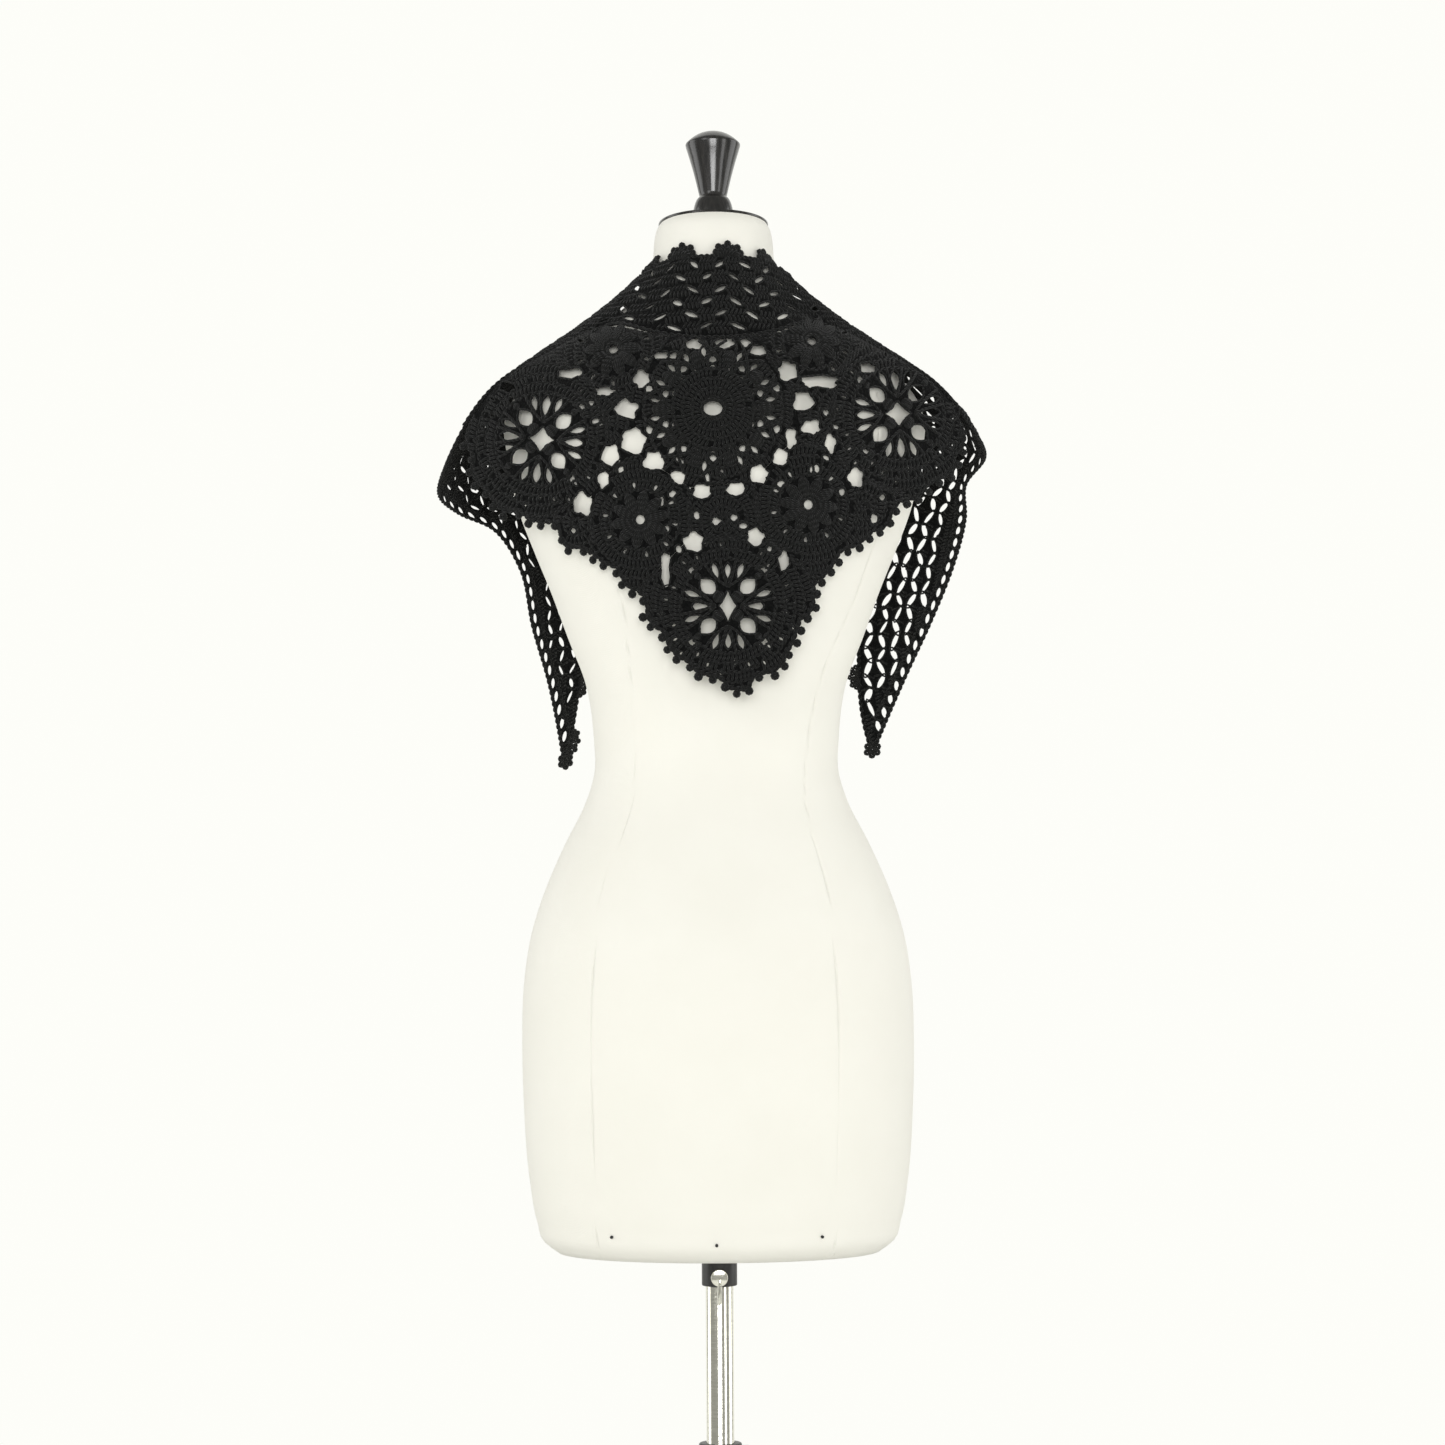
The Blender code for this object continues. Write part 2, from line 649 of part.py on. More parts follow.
def largest_island(bm):
    """Drop the crumbs that the cuts leave, and keep the one connected piece."""
    left = set(bm.faces)
    islands = []
    while left:
        island = {left.pop()}
        edge_of_island = set(island)
        while edge_of_island:
            edges = {edge for face in edge_of_island for edge in face.edges}
            edge_of_island = {face for edge in edges for face in edge.link_faces} & left
            left -= edge_of_island
            island |= edge_of_island
        islands.append(island)
    islands.sort(key=lambda island: sum(face.calc_area() for face in island))
    crumbs = [face for island in islands[:-1] for face in island]
    bmesh.ops.delete(bm, geom=crumbs, context="FACES")
    loose = [vert for vert in bm.verts if not vert.link_faces]
    bmesh.ops.delete(bm, geom=loose, context="VERTS")


def lace_sheet(loops, rows):
    """A flat mesh of the first outline with the other outlines cut out of it."""
    loops = [counter_clockwise(list(loop)) for loop in loops]
    coordinates = []
    faces = []
    for loop in loops:
        faces.append(list(range(len(coordinates), len(coordinates) + len(loop))))
        coordinates += loop
    coordinates += grid_points(loops, rows)
    flat = [Vector(point) for point in coordinates]
    points, _, triangles, _, _, owners = delaunay_2d_cdt(flat, [], faces, 1, 1e-6)
    bm = bmesh.new()
    verts = [bm.verts.new((point[0], point[1], 0.0)) for point in points]
    for triangle, owner in zip(triangles, owners):
        if list(owner) == [0]:
            bm.faces.new([verts[index] for index in triangle])
    largest_island(bm)
    return bm


def cloth_piece(name, loops, surface, collection, material, rows=()):
    """Lay a flat lace sheet on the draped surface and give it its wall."""
    bm = lace_sheet(loops, rows)
    verts = list(bm.verts)
    chart = np.array([(vert.co.x, vert.co.y) for vert in verts])
    places = surface(chart)
    outward = unit_outward(places)
    for vert, place in zip(verts, places):
        vert.co = place
    row_of_place = {tuple(vert.co): row for row, vert in enumerate(verts)}
    made = bmesh.ops.extrude_face_region(bm, geom=list(bm.faces))
    for item in made["geom"]:
        if isinstance(item, bmesh.types.BMVert):
            row = row_of_place[tuple(item.co)]
            item.co = Vector(places[row] + outward[row] * WALL)
    bmesh.ops.recalc_face_normals(bm, faces=list(bm.faces))
    return object_from(bm, name, collection, material)


def panel_rows():
    """Extra points under the band's edge, where the panel bends most."""
    rows = []
    for drop in (0.004, 0.011, 0.022):
        for x in np.arange(-0.200, 0.201, GRID_STEP):
            _, height = panel_top(np.array([x]))
            rows.append((float(x), float(height[0]) - drop))
    return rows


def build_panel(collection, material):
    """The motifs of the back panel."""
    shared = [above_the_band()] + [star_gap(*row) for row in STAR_GAPS]
    rows = panel_rows()
    for motif in MOTIFS:
        name, kind, x, z, _, turn = motif
        loops = [motif_outline(motif)] + shared + motif_gaps(kind, x, z, math.radians(turn))
        cloth_piece(name, loops, panel_surface, collection, material, rows)


def slit(along, across, sign):
    """A slanted gap between two solid diamonds."""
    turn = sign * math.atan2(DIAMOND_ACROSS, DIAMOND_ALONG)
    return ring_points(along, across, SLIT_SIZE[0] / 2.0, SLIT_SIZE[1] / 2.0, turn, 4)


def diamond_slits(start, stop, ladder):
    """The slits of the diamond mesh over one stretch of the band."""
    gaps = []
    half = DIAMOND_ALONG / 2.0
    for column in range(math.ceil(start / half), math.floor(stop / half)):
        along = (column + 0.5) * half
        width = float(band_width(along))
        outer = width - (2.0 * LADDER_INSET if ladder else 0.0)
        for line in range(8):
            across = (line + 0.75) * DIAMOND_ACROSS / 2.0
            room = SLIT_MARGIN <= across <= outer - SLIT_MARGIN * 0.5
            if room and width > SLIT_LEAST_WIDTH and start < along < stop:
                gaps.append(slit(along, across, 1.0 if (column + line) % 2 else -1.0))
    return gaps


def ladder_gaps(start, stop):
    """The row of long gaps along a free outer edge."""
    gaps = []
    count = int((stop - start) / LADDER_PITCH)
    for index in range(count):
        along = start + (index + 0.5) * LADDER_PITCH
        width = float(band_width(along))
        across = width - LADDER_INSET
        if width > LADDER_LEAST_WIDTH:
            reach_along, reach_across = LADDER_SIZE[0] / 2.0, LADDER_SIZE[1] / 2.0
            gaps.append(ring_points(along, across, reach_along, reach_across, 0.0, 4))
    return gaps


def neck_edge(start, stop):
    """The neck edge from start to stop, with a fan of picots every step."""
    edge = [(start, 0.0)]
    first = math.ceil((start + PICOT_FAN_MARGIN - FIRST_FAN) / PICOT_PITCH)
    last = math.floor((stop - PICOT_FAN_MARGIN - FIRST_FAN) / PICOT_PITCH)
    for index in range(first, last + 1):
        middle = FIRST_FAN + index * PICOT_PITCH
        edge += [(middle + along, -height) for along, height in PICOT_FAN]
    return edge + [(stop, 0.0)]


def outer_edge(start, stop):
    """The outer edge from stop back to start."""
    count = max(4, round((stop - start) / EDGE_STEP))
    places = np.linspace(stop, start, count + 1)
    return [(float(place), float(band_width(place))) for place in places]


def band_rows(start, stop):
    """Points across the band that let it bend over the shoulder."""
    return [
        (float(along), float(band_width(along)) * share)
        for along in np.arange(start + EDGE_STEP / 2.0, stop, EDGE_STEP)
        for share in (0.2, 0.4, 0.6, 0.8)
    ]


def build_band(collection, material):
    """The neck band over both shoulders and the two hanging ends."""
    tip_left, tip_right = BAND_PLACES[0], BAND_PLACES[-1]
    stretches = (
        ("neck_band", LEFT_CORNER, RIGHT_CORNER, -BACK_SLITS_REACH, BACK_SLITS_REACH),
        ("end_left", tip_left, LEFT_CORNER - SEAM_GAP, tip_left, LEFT_HANGING),
        ("end_right", RIGHT_CORNER + SEAM_GAP, tip_right, RIGHT_HANGING, tip_right),
    )
    for name, start, stop, first_slit, last_slit in stretches:
        free_edge = name != "neck_band"
        loops = [neck_edge(start, stop) + outer_edge(start, stop)]
        loops += diamond_slits(first_slit, last_slit, free_edge)
        if free_edge:
            loops += ladder_gaps(start, stop)
        cloth_piece(name, loops, band_surface, collection, material, band_rows(start, stop))


def build_torso(collection, material):
    """The padded form, lofted through its level sections and closed at both ends."""
    heights = np.sort(np.concatenate([SECTION_TABLE[:, 0], SHOULDER_RINGS, [PIN_HEIGHT]]))
    bm = bmesh.new()
    rings = []
    for height in heights:
        width, back, front, rise = (float(value) for value in form_section(height))
        ring = []
        for index in range(FORM_SIDES):
            angle = math.tau * index / FORM_SIDES
            cosine, sine = math.cos(angle), math.sin(angle)
            power = 2.0 / SECTION_POWER
            x = width * math.copysign(abs(cosine) ** power, cosine)
            y = (front if sine > 0.0 else back) * math.copysign(abs(sine) ** power, sine)
            ring.append(bm.verts.new((x, y, height - rise * y)))
        rings.append(ring)
    for below, above in zip(rings, rings[1:]):
        for index in range(FORM_SIDES):
            following = (index + 1) % FORM_SIDES
            bm.faces.new((below[index], below[following], above[following], above[index]))
    bm.faces.new(rings[0][::-1])
    bm.faces.new(rings[-1])
    bmesh.ops.recalc_face_normals(bm, faces=list(bm.faces))
    return object_from(bm, "torso", collection, material)


def turned(name, profile, collection, material, steps=32):
    """A turned solid: the profile at +X runs down its outer side."""
    bm = bmesh.new()
    verts = [bm.verts.new((radius, 0.0, height)) for radius, height in profile]
    for start, end in zip(verts, verts[1:]):
        bm.edges.new((start, end))
    if profile[0][0] > 0.0:
        bm.edges.new((verts[-1], verts[0]))
    obj = object_from(bm, name, collection, material)
    screw = obj.modifiers.new("turn", "SCREW")
    screw.steps = steps
    screw.render_steps = steps
    screw.use_merge_vertices = True
    screw.merge_threshold = 0.00001
    return obj


def cap_plane(obj, lift):
    """Stand an object on the neck's slanted top."""
    normal = Vector((0.0, math.sin(CAP_TILT), math.cos(CAP_TILT)))
    obj.matrix_world = Matrix.Translation(Vector((0.0, 0.0, NECK_TOP)) + normal * lift) @ Matrix.Rotation(
        -CAP_TILT, 4, "X"
    )


def build_neck_cap(collection, material):
    """The thin plate on the slanted neck."""
    edge = CAP_THICK * 0.3
    profile = (
        (0.0, CAP_THICK),
        (CAP_RADIUS - edge, CAP_THICK),
        (CAP_RADIUS, CAP_THICK - edge),
        (CAP_RADIUS, edge),
        (CAP_RADIUS - edge, 0.0),
        (0.0, 0.0),
    )
    plate = turned("neck_cap", profile, collection, material, 30)
    cap_plane(plate, FIT_GAP)


def build_knob(collection, material):
    """The turned knob: a rounded foot, a widening cone and a low domed top."""
    profile = [(0.0, KNOB_LENGTH)]
    for share in (0.35, 0.65, 0.88, 1.0):
        profile.append((KNOB_RADIUS * share, KNOB_LENGTH - KNOB_DOME * share**2.4))
    profile.append((KNOB_RADIUS * 0.985, KNOB_LENGTH - KNOB_DOME * 1.25))
    profile.append(KNOB_WAIST)
    profile.append((KNOB_NECK, KNOB_FOOT_HEIGHT + 0.0010))
    for share in (0.20, 0.50, 0.80):
        turn = share * math.pi / 2.0
        radius = KNOB_NECK + (KNOB_FOOT - KNOB_NECK) * math.sin(turn)
        profile.append((radius, KNOB_FOOT_HEIGHT * math.cos(turn)))
    profile += [(KNOB_FOOT, SMALL_EDGE), (KNOB_FOOT - SMALL_EDGE, 0.0), (0.0, 0.0)]
    knob = turned("knob", profile, collection, material, 24)
    cap_plane(knob, FIT_GAP * 2.0 + CAP_THICK)


def bar(name, size, centre, direction, collection, material):
    """A round bar of a radius, a length and a number of sides, with its middle at the centre."""
    radius, depth, sides = size
    bm = bmesh.new()
    bmesh.ops.create_cone(bm, cap_ends=True, segments=sides, radius1=radius, radius2=radius, depth=depth)
    turn = Vector((0.0, 0.0, 1.0)).rotation_difference(direction).to_matrix().to_4x4()
    matrix = Matrix.Translation(centre) @ turn
    bmesh.ops.transform(bm, matrix=matrix, verts=list(bm.verts))
    return object_from(bm, name, collection, material)


def block(name, size, centre, collection, material):
    """A box with its middle at the centre."""
    bm = bmesh.new()
    bmesh.ops.create_cube(bm, size=1.0)
    matrix = Matrix.Translation(centre) @ Matrix.Diagonal(Vector((*size, 1.0)))
    bmesh.ops.transform(bm, matrix=matrix, verts=list(bm.verts))
    return object_from(bm, name, collection, material)


def combine(target, other, operation, cutters):
    """Join a helper to the target or cut it away, and put the helper aside."""
    boolean = target.modifiers.new(operation.lower(), "BOOLEAN")
    boolean.operation = operation
    boolean.object = other
    for collection in list(other.users_collection):
        collection.objects.unlink(other)
    cutters.objects.link(other)
    other.hide_render = True
    other.display_type = "WIRE"


def build_socket(collection, cutters, material):
    """The black socket under the form, with a blind bore and a boss for its screw."""
    bore = POLE_RADIUS + FIT_GAP
    profile = (
        (0.0, SOCKET_TOP),
        (SOCKET_RADIUS - SMALL_EDGE, SOCKET_TOP),
        (SOCKET_RADIUS, SOCKET_TOP - SMALL_EDGE),
        (SOCKET_RADIUS, SOCKET_BOTTOM + SMALL_EDGE),
        (SOCKET_RADIUS - SMALL_EDGE, SOCKET_BOTTOM),
        (bore, SOCKET_BOTTOM),
        (bore, SOCKET_BORE_TOP),
        (0.0, SOCKET_BORE_TOP),
    )
    socket = turned("socket", profile, collection, material, 28)
    behind = Vector((0.0, -1.0, 0.0))
    middle = Vector((0.0, -SOCKET_RADIUS, COLLAR_SCREW_Z))
    boss = bar("socket_boss", SOCKET_BOSS, middle + behind * 0.0012, behind, cutters, material)
    hole = bar("socket_hole", SCREW_HOLE, middle + behind * 0.0020, behind, cutters, material)
    combine(socket, boss, "UNION", cutters)
    combine(socket, hole, "DIFFERENCE", cutters)


def build_collar_screw(collection, cutters, material):
    """The thumb screw behind the socket: a stem, a round head and a short hanging lever."""
    behind = Vector((0.0, -1.0, 0.0))
    start = Vector((0.0, -POLE_RADIUS - FIT_GAP, COLLAR_SCREW_Z))
    end = Vector((0.0, -SOCKET_RADIUS - 0.0055, COLLAR_SCREW_Z))
    stem_size = (SCREW_RADIUS, (end - start).length, 16)
    stem = bar("collar_screw", stem_size, (start + end) / 2.0, behind, collection, material)
    head = bar("collar_head", COLLAR_HEAD, end + behind * 0.0005, behind, cutters, material)
    hang = end + behind * 0.0008 - Vector((0.0, 0.0, COLLAR_LEVER[1] / 2.0 + 0.0010))
    lever = bar("collar_lever", COLLAR_LEVER, hang, Vector((0.06, 0.0, 1.0)), cutters, material)
    combine(stem, head, "UNION", cutters)
    combine(stem, lever, "UNION", cutters)


def build_base(collection, material):
    """The round base plate with its low hub."""
    fit = TUBE_RADIUS + FIT_GAP
    profile = (
        (fit, BASE_HUB_TOP),
        (BASE_HUB_RADIUS - 0.0020, BASE_HUB_TOP),
        (BASE_HUB_RADIUS, BASE_HUB_TOP - 0.0020),
        (BASE_HUB_RADIUS + 0.0020, BASE_TOP + 0.0070),
        (BASE_HUB_RADIUS + 0.0090, BASE_TOP + 0.0010),
        (BASE_RADIUS * 0.69, BASE_TOP - 0.0030),
        (BASE_RADIUS - 0.0040, BASE_RIM + 0.0010),
        (BASE_RADIUS, BASE_RIM - 0.0025),
        (BASE_RADIUS, 0.0015),
        (BASE_RADIUS - 0.0015, 0.0),
        (0.0, 0.0),
        (0.0, BASE_BORE_FLOOR),
        (fit, BASE_BORE_FLOOR),
    )
    turned("base", profile, collection, material, 40)


def build_clamp(collection, cutters, material, screw_material):
    """The clamp hub on top of the lower tube and its wing screw."""
    fit = TUBE_RADIUS + FIT_GAP
    profile = (
        (TUBE_BORE, HUB_TOP),
        (HUB_RADIUS - SMALL_EDGE, HUB_TOP),
        (HUB_RADIUS, HUB_TOP - SMALL_EDGE),
        (HUB_RADIUS, HUB_BOTTOM + SMALL_EDGE),
        (HUB_RADIUS - SMALL_EDGE, HUB_BOTTOM),
        (fit, HUB_BOTTOM),
        (fit, TUBE_TOP + FIT_GAP),
        (TUBE_BORE, TUBE_TOP + FIT_GAP),
    )
    hub = turned("clamp_hub", profile, collection, material, 28)
    right = Vector((1.0, 0.0, 0.0))
    rim = Vector((HUB_RADIUS, 0.0, CLAMP_SCREW_Z))
    boss = bar("hub_boss", HUB_BOSS, rim + right * 0.0025, right, cutters, material)
    hole = bar("hub_hole", HUB_HOLE, rim + right * 0.0025, right, cutters, material)
    combine(hub, boss, "UNION", cutters)
    combine(hub, hole, "DIFFERENCE", cutters)
    start = Vector((POLE_RADIUS + FIT_GAP, 0.0, CLAMP_SCREW_Z))
    end = rim + right * 0.0180
    stem_size = (SCREW_RADIUS, (end - start).length, 16)
    screw = bar("clamp_screw", stem_size, (start + end) / 2.0, right, collection, screw_material)
    grip = bar("clamp_grip", CLAMP_GRIP, rim + right * 0.0200, right, cutters, screw_material)
    wing = block("clamp_wing", CLAMP_WING, rim + right * 0.0250, cutters, screw_material)
    combine(screw, grip, "UNION", cutters)
    combine(screw, wing, "UNION", cutters)


def build_tubes(collection, material):
    """The lower tube in the base and the pole that slides in it."""
    tube = (
        (TUBE_BORE, TUBE_TOP),
        (TUBE_RADIUS, TUBE_TOP),
        (TUBE_RADIUS, BASE_BORE_FLOOR + FIT_GAP),
        (TUBE_BORE, BASE_BORE_FLOOR + FIT_GAP),
    )
    turned("lower_tube", tube, collection, material, 28)
    top = SOCKET_BORE_TOP - FIT_GAP
    pole = (
        (0.0, top),
        (POLE_RADIUS - SMALL_EDGE, top),
        (POLE_RADIUS, top - SMALL_EDGE),
        (POLE_RADIUS, POLE_BOTTOM),
        (0.0, POLE_BOTTOM),
    )
    turned("pole", pole, collection, material, 28)


def build_pins(collection, material):
    """Three short pins through the form's lower back edge."""
    for name, x in PINS:
        place = seated(np.array([[x, -0.1200, PIN_HEIGHT]]), PIN_SEAT)
        outward = unit_outward(place)
        bar(name, PIN_SIZE, Vector(place[0]), Vector(outward[0]), collection, material)


def main():
    clear_scene()
    parts, cutters = make_collections()
    materials = make_materials()
    build_torso(parts, materials["cover"])
    build_neck_cap(parts, materials["lacquer"])
    build_knob(parts, materials["lacquer"])
    build_socket(parts, cutters, materials["black_metal"])
    build_collar_screw(parts, cutters, materials["chrome"])
    build_base(parts, materials["black_metal"])
    build_clamp(parts, cutters, materials["black_metal"], materials["chrome"])
    build_tubes(parts, materials["chrome"])
    build_pins(parts, materials["pin"])
    build_band(parts, materials["cotton"])
    build_panel(parts, materials["cotton"])


main()
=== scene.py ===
"""A black crochet lace shawl on a limbless dress form and its stand, seen from behind.

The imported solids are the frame. Each cloth piece gets a thin lace ground with its gaps cut
through, and crochet yarn laid on both sides of it. The form and the stand's pieces are made
anew with smooth faces. Metres, +Z up, and the form's back faces -Y.
"""

import logging
import math
from collections.abc import Callable
from dataclasses import dataclass, field
from enum import Enum

import bmesh
import bpy
import numpy as np
from mathutils import Matrix, Vector
from mathutils.geometry import delaunay_2d_cdt


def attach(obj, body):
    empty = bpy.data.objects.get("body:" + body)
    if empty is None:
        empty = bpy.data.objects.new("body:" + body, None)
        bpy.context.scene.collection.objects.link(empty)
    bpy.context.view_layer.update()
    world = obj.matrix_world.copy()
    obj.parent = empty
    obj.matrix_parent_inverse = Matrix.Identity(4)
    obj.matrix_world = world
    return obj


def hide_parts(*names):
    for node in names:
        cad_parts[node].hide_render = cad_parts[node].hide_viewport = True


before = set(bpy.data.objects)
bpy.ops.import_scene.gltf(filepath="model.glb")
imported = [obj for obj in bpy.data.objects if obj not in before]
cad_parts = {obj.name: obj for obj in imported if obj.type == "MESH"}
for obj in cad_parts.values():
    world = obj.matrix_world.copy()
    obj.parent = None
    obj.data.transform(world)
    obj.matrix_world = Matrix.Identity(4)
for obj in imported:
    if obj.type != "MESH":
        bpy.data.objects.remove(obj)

LOG = logging.getLogger("shawl")
Array = np.ndarray
Outline = list[tuple[float, float]]
Surface = Callable[[Array], Array]

# Height, half width, depth behind the axis and depth in front of it, from the bottom edge up
FORM_SECTIONS = (
    (0.618, 0.138, 0.102, 0.093),
    (0.626, 0.149, 0.112, 0.103),
    (0.644, 0.156, 0.118, 0.108),
    (0.678, 0.162, 0.123, 0.1115),
    (0.747, 0.167, 0.129, 0.1145),
    (0.798, 0.168, 0.13, 0.115),
    (0.85, 0.166, 0.127, 0.113),
    (0.893, 0.159, 0.12, 0.11),
    (0.927, 0.148, 0.111, 0.106),
    (0.966, 0.131, 0.1, 0.101),
    (1.004, 0.112, 0.089, 0.0965),
    (1.03, 0.1045, 0.085, 0.095),
    (1.056, 0.105, 0.086, 0.097),
    (1.107, 0.1125, 0.093, 0.106),
    (1.142, 0.126, 0.099, 0.12),
    (1.183, 0.141, 0.107, 0.138),
    (1.215, 0.154, 0.112, 0.145),
    (1.252, 0.168, 0.115, 0.138),
    (1.3, 0.178, 0.114, 0.115),
    (1.33, 0.18, 0.108, 0.096),
    (1.35, 0.172, 0.102, 0.085),
    (1.37, 0.1545, 0.095, 0.074),
    (1.385, 0.134, 0.088, 0.067),
    (1.4, 0.111, 0.08, 0.06),
    (1.42, 0.085, 0.072, 0.054),
    (1.44, 0.064, 0.064, 0.05),
    (1.46, 0.0535, 0.059, 0.046),
    (1.484, 0.0505, 0.0555, 0.0445),
    (1.491, 0.0492, 0.053, 0.044),
    (1.496, 0.0465, 0.048, 0.0425),
)

# Sections across the band from the nape to each tip:
# neck edge x, y, z, outer edge x, y, z, and how far the middle is rounded out
LEFT_SECTIONS = (
    (-0.034, -0.052, 1.464, -0.048, -0.072, 1.399, 0.0),
    (-0.056, -0.03, 1.456, -0.092, -0.036, 1.407, 0.0),
    (-0.071, 0.0, 1.444, -0.14, -0.024, 1.387, 0.0),
    (-0.095, 0.024, 1.415, -0.182, -0.03, 1.361, 0.004),
    (-0.13, 0.04, 1.388, -0.211, -0.03, 1.326, 0.01),
    (-0.158, 0.052, 1.364, -0.23, -0.012, 1.29, 0.014),
    (-0.174, 0.07, 1.334, -0.237, 0.022, 1.268, 0.012),
    (-0.164, 0.094, 1.304, -0.222, 0.052, 1.254, 0.008),
    (-0.142, 0.112, 1.272, -0.192, 0.074, 1.24, 0.004),
    (-0.126, 0.122, 1.224, -0.17, 0.086, 1.206, 0.003),
    (-0.118, 0.126, 1.166, -0.16, 0.094, 1.156, 0.003),
    (-0.119, 0.126, 1.112, -0.147, 0.104, 1.108, 0.002),
    (-0.126, 0.124, 1.064, -0.1385, 0.114, 1.062, 0.0),
    (-0.1295, 0.122, 1.042, -0.1355, 0.118, 1.041, 0.0),
)
NAPE_SECTION = (0.0, -0.064, 1.466, 0.0, -0.092, 1.394, 0.0)
RIGHT_SECTIONS = (
    (0.034, -0.052, 1.464, 0.048, -0.072, 1.399, 0.0),
    (0.056, -0.03, 1.456, 0.092, -0.036, 1.408, 0.0),
    (0.071, 0.0, 1.444, 0.14, -0.024, 1.388, 0.0),
    (0.095, 0.024, 1.415, 0.18, -0.03, 1.364, 0.004),
    (0.128, 0.04, 1.39, 0.206, -0.028, 1.338, 0.01),
    (0.152, 0.052, 1.37, 0.225, -0.008, 1.314, 0.014),
    (0.168, 0.07, 1.342, 0.232, 0.024, 1.298, 0.012),
    (0.164, 0.094, 1.306, 0.217, 0.054, 1.276, 0.006),
    (0.148, 0.112, 1.266, 0.218, 0.076, 1.248, 0.003),
    (0.136, 0.121, 1.212, 0.208, 0.088, 1.208, 0.003),
    (0.127, 0.125, 1.16, 0.189, 0.099, 1.16, 0.003),
    (0.1245, 0.125, 1.112, 0.167, 0.11, 1.112, 0.002),
    (0.129, 0.123, 1.068, 0.148, 0.117, 1.068, 0.0),
    (0.1335, 0.121, 1.05, 0.1405, 0.119, 1.05, 0.0),
)

# How far behind the axis the panel hangs, by the distance from its middle
PANEL_DEPTHS = (
    (0.0, 0.1195),
    (0.05, 0.114),
    (0.1, 0.099),
    (0.15, 0.074),
    (0.19, 0.05),
    (0.24, 0.024),
)

# The panel's free edge from the left fold over its tip to the right fold: x, z
PANEL_EDGE = (
    (-0.208, 1.33),
    (-0.208, 1.3106),
    (-0.205, 1.288),
    (-0.193, 1.266),
    (-0.175, 1.251),
    (-0.133, 1.238),
    (-0.123, 1.221),
    (-0.096, 1.211),
    (-0.06, 1.176),
    (-0.052, 1.154),
    (-0.022, 1.117),
    (-0.002, 1.111),
    (0.008, 1.1005),
    (0.026, 1.0995),
    (0.037, 1.111),
    (0.058, 1.121),
    (0.065, 1.145),
    (0.078, 1.162),
    (0.082, 1.18),
    (0.095, 1.202),
    (0.119, 1.223),
    (0.14, 1.233),
    (0.148, 1.249),
    (0.185, 1.273),
    (0.201, 1.286),
    (0.208, 1.3),
    (0.2105, 1.316),
    (0.2075, 1.334),
)

# Star gaps where motifs meet: x, z, width, height
STAR_GAPS = (
    (-0.0605, 1.3591, 0.013, 0.015),
    (-0.0731, 1.3331, 0.0185, 0.0165),
    (-0.0674, 1.3072, 0.021, 0.0195),
    (-0.0867, 1.2955, 0.0145, 0.0165),
    (-0.0508, 1.2897, 0.0165, 0.0165),
    (-0.0926, 1.2746, 0.009, 0.013),
    (-0.1103, 1.2554, 0.0155, 0.0195),
    (-0.0906, 1.349, 0.0145, 0.008),
    (-0.1214, 1.3657, 0.0215, 0.009),
    (-0.1741, 1.356, 0.0125, 0.0085),
    (-0.0446, 1.3783, 0.0135, 0.007),
    (-0.0161, 1.3875, 0.0145, 0.0095),
    (0.009, 1.388, 0.016, 0.0095),
    (0.0266, 1.389, 0.0075, 0.0075),
    (0.0367, 1.3816, 0.0135, 0.009),
    (0.0618, 1.3649, 0.0165, 0.016),
    (0.0885, 1.356, 0.03, 0.011),
    (0.0743, 1.339, 0.0175, 0.0155),
    (0.0809, 1.3172, 0.0155, 0.0125),
    (0.064, 1.308, 0.009, 0.016),
    (0.0965, 1.304, 0.009, 0.0145),
    (0.0545, 1.2925, 0.0125, 0.0135),
    (0.0371, 1.278, 0.0145, 0.015),
    (0.0178, 1.2654, 0.0145, 0.011),
    (-0.0107, 1.2637, 0.0145, 0.012),
    (-0.0307, 1.2755, 0.011, 0.0105),
    (-0.0181, 1.2219, 0.0155, 0.0155),
    (0.0334, 1.2261, 0.014, 0.0135),
    (-0.0412, 1.2002, 0.0085, 0.026),
    (0.0567, 1.206, 0.0085, 0.0155),
    (0.118, 1.2758, 0.013, 0.015),
    (0.129, 1.369, 0.013, 0.009),
)

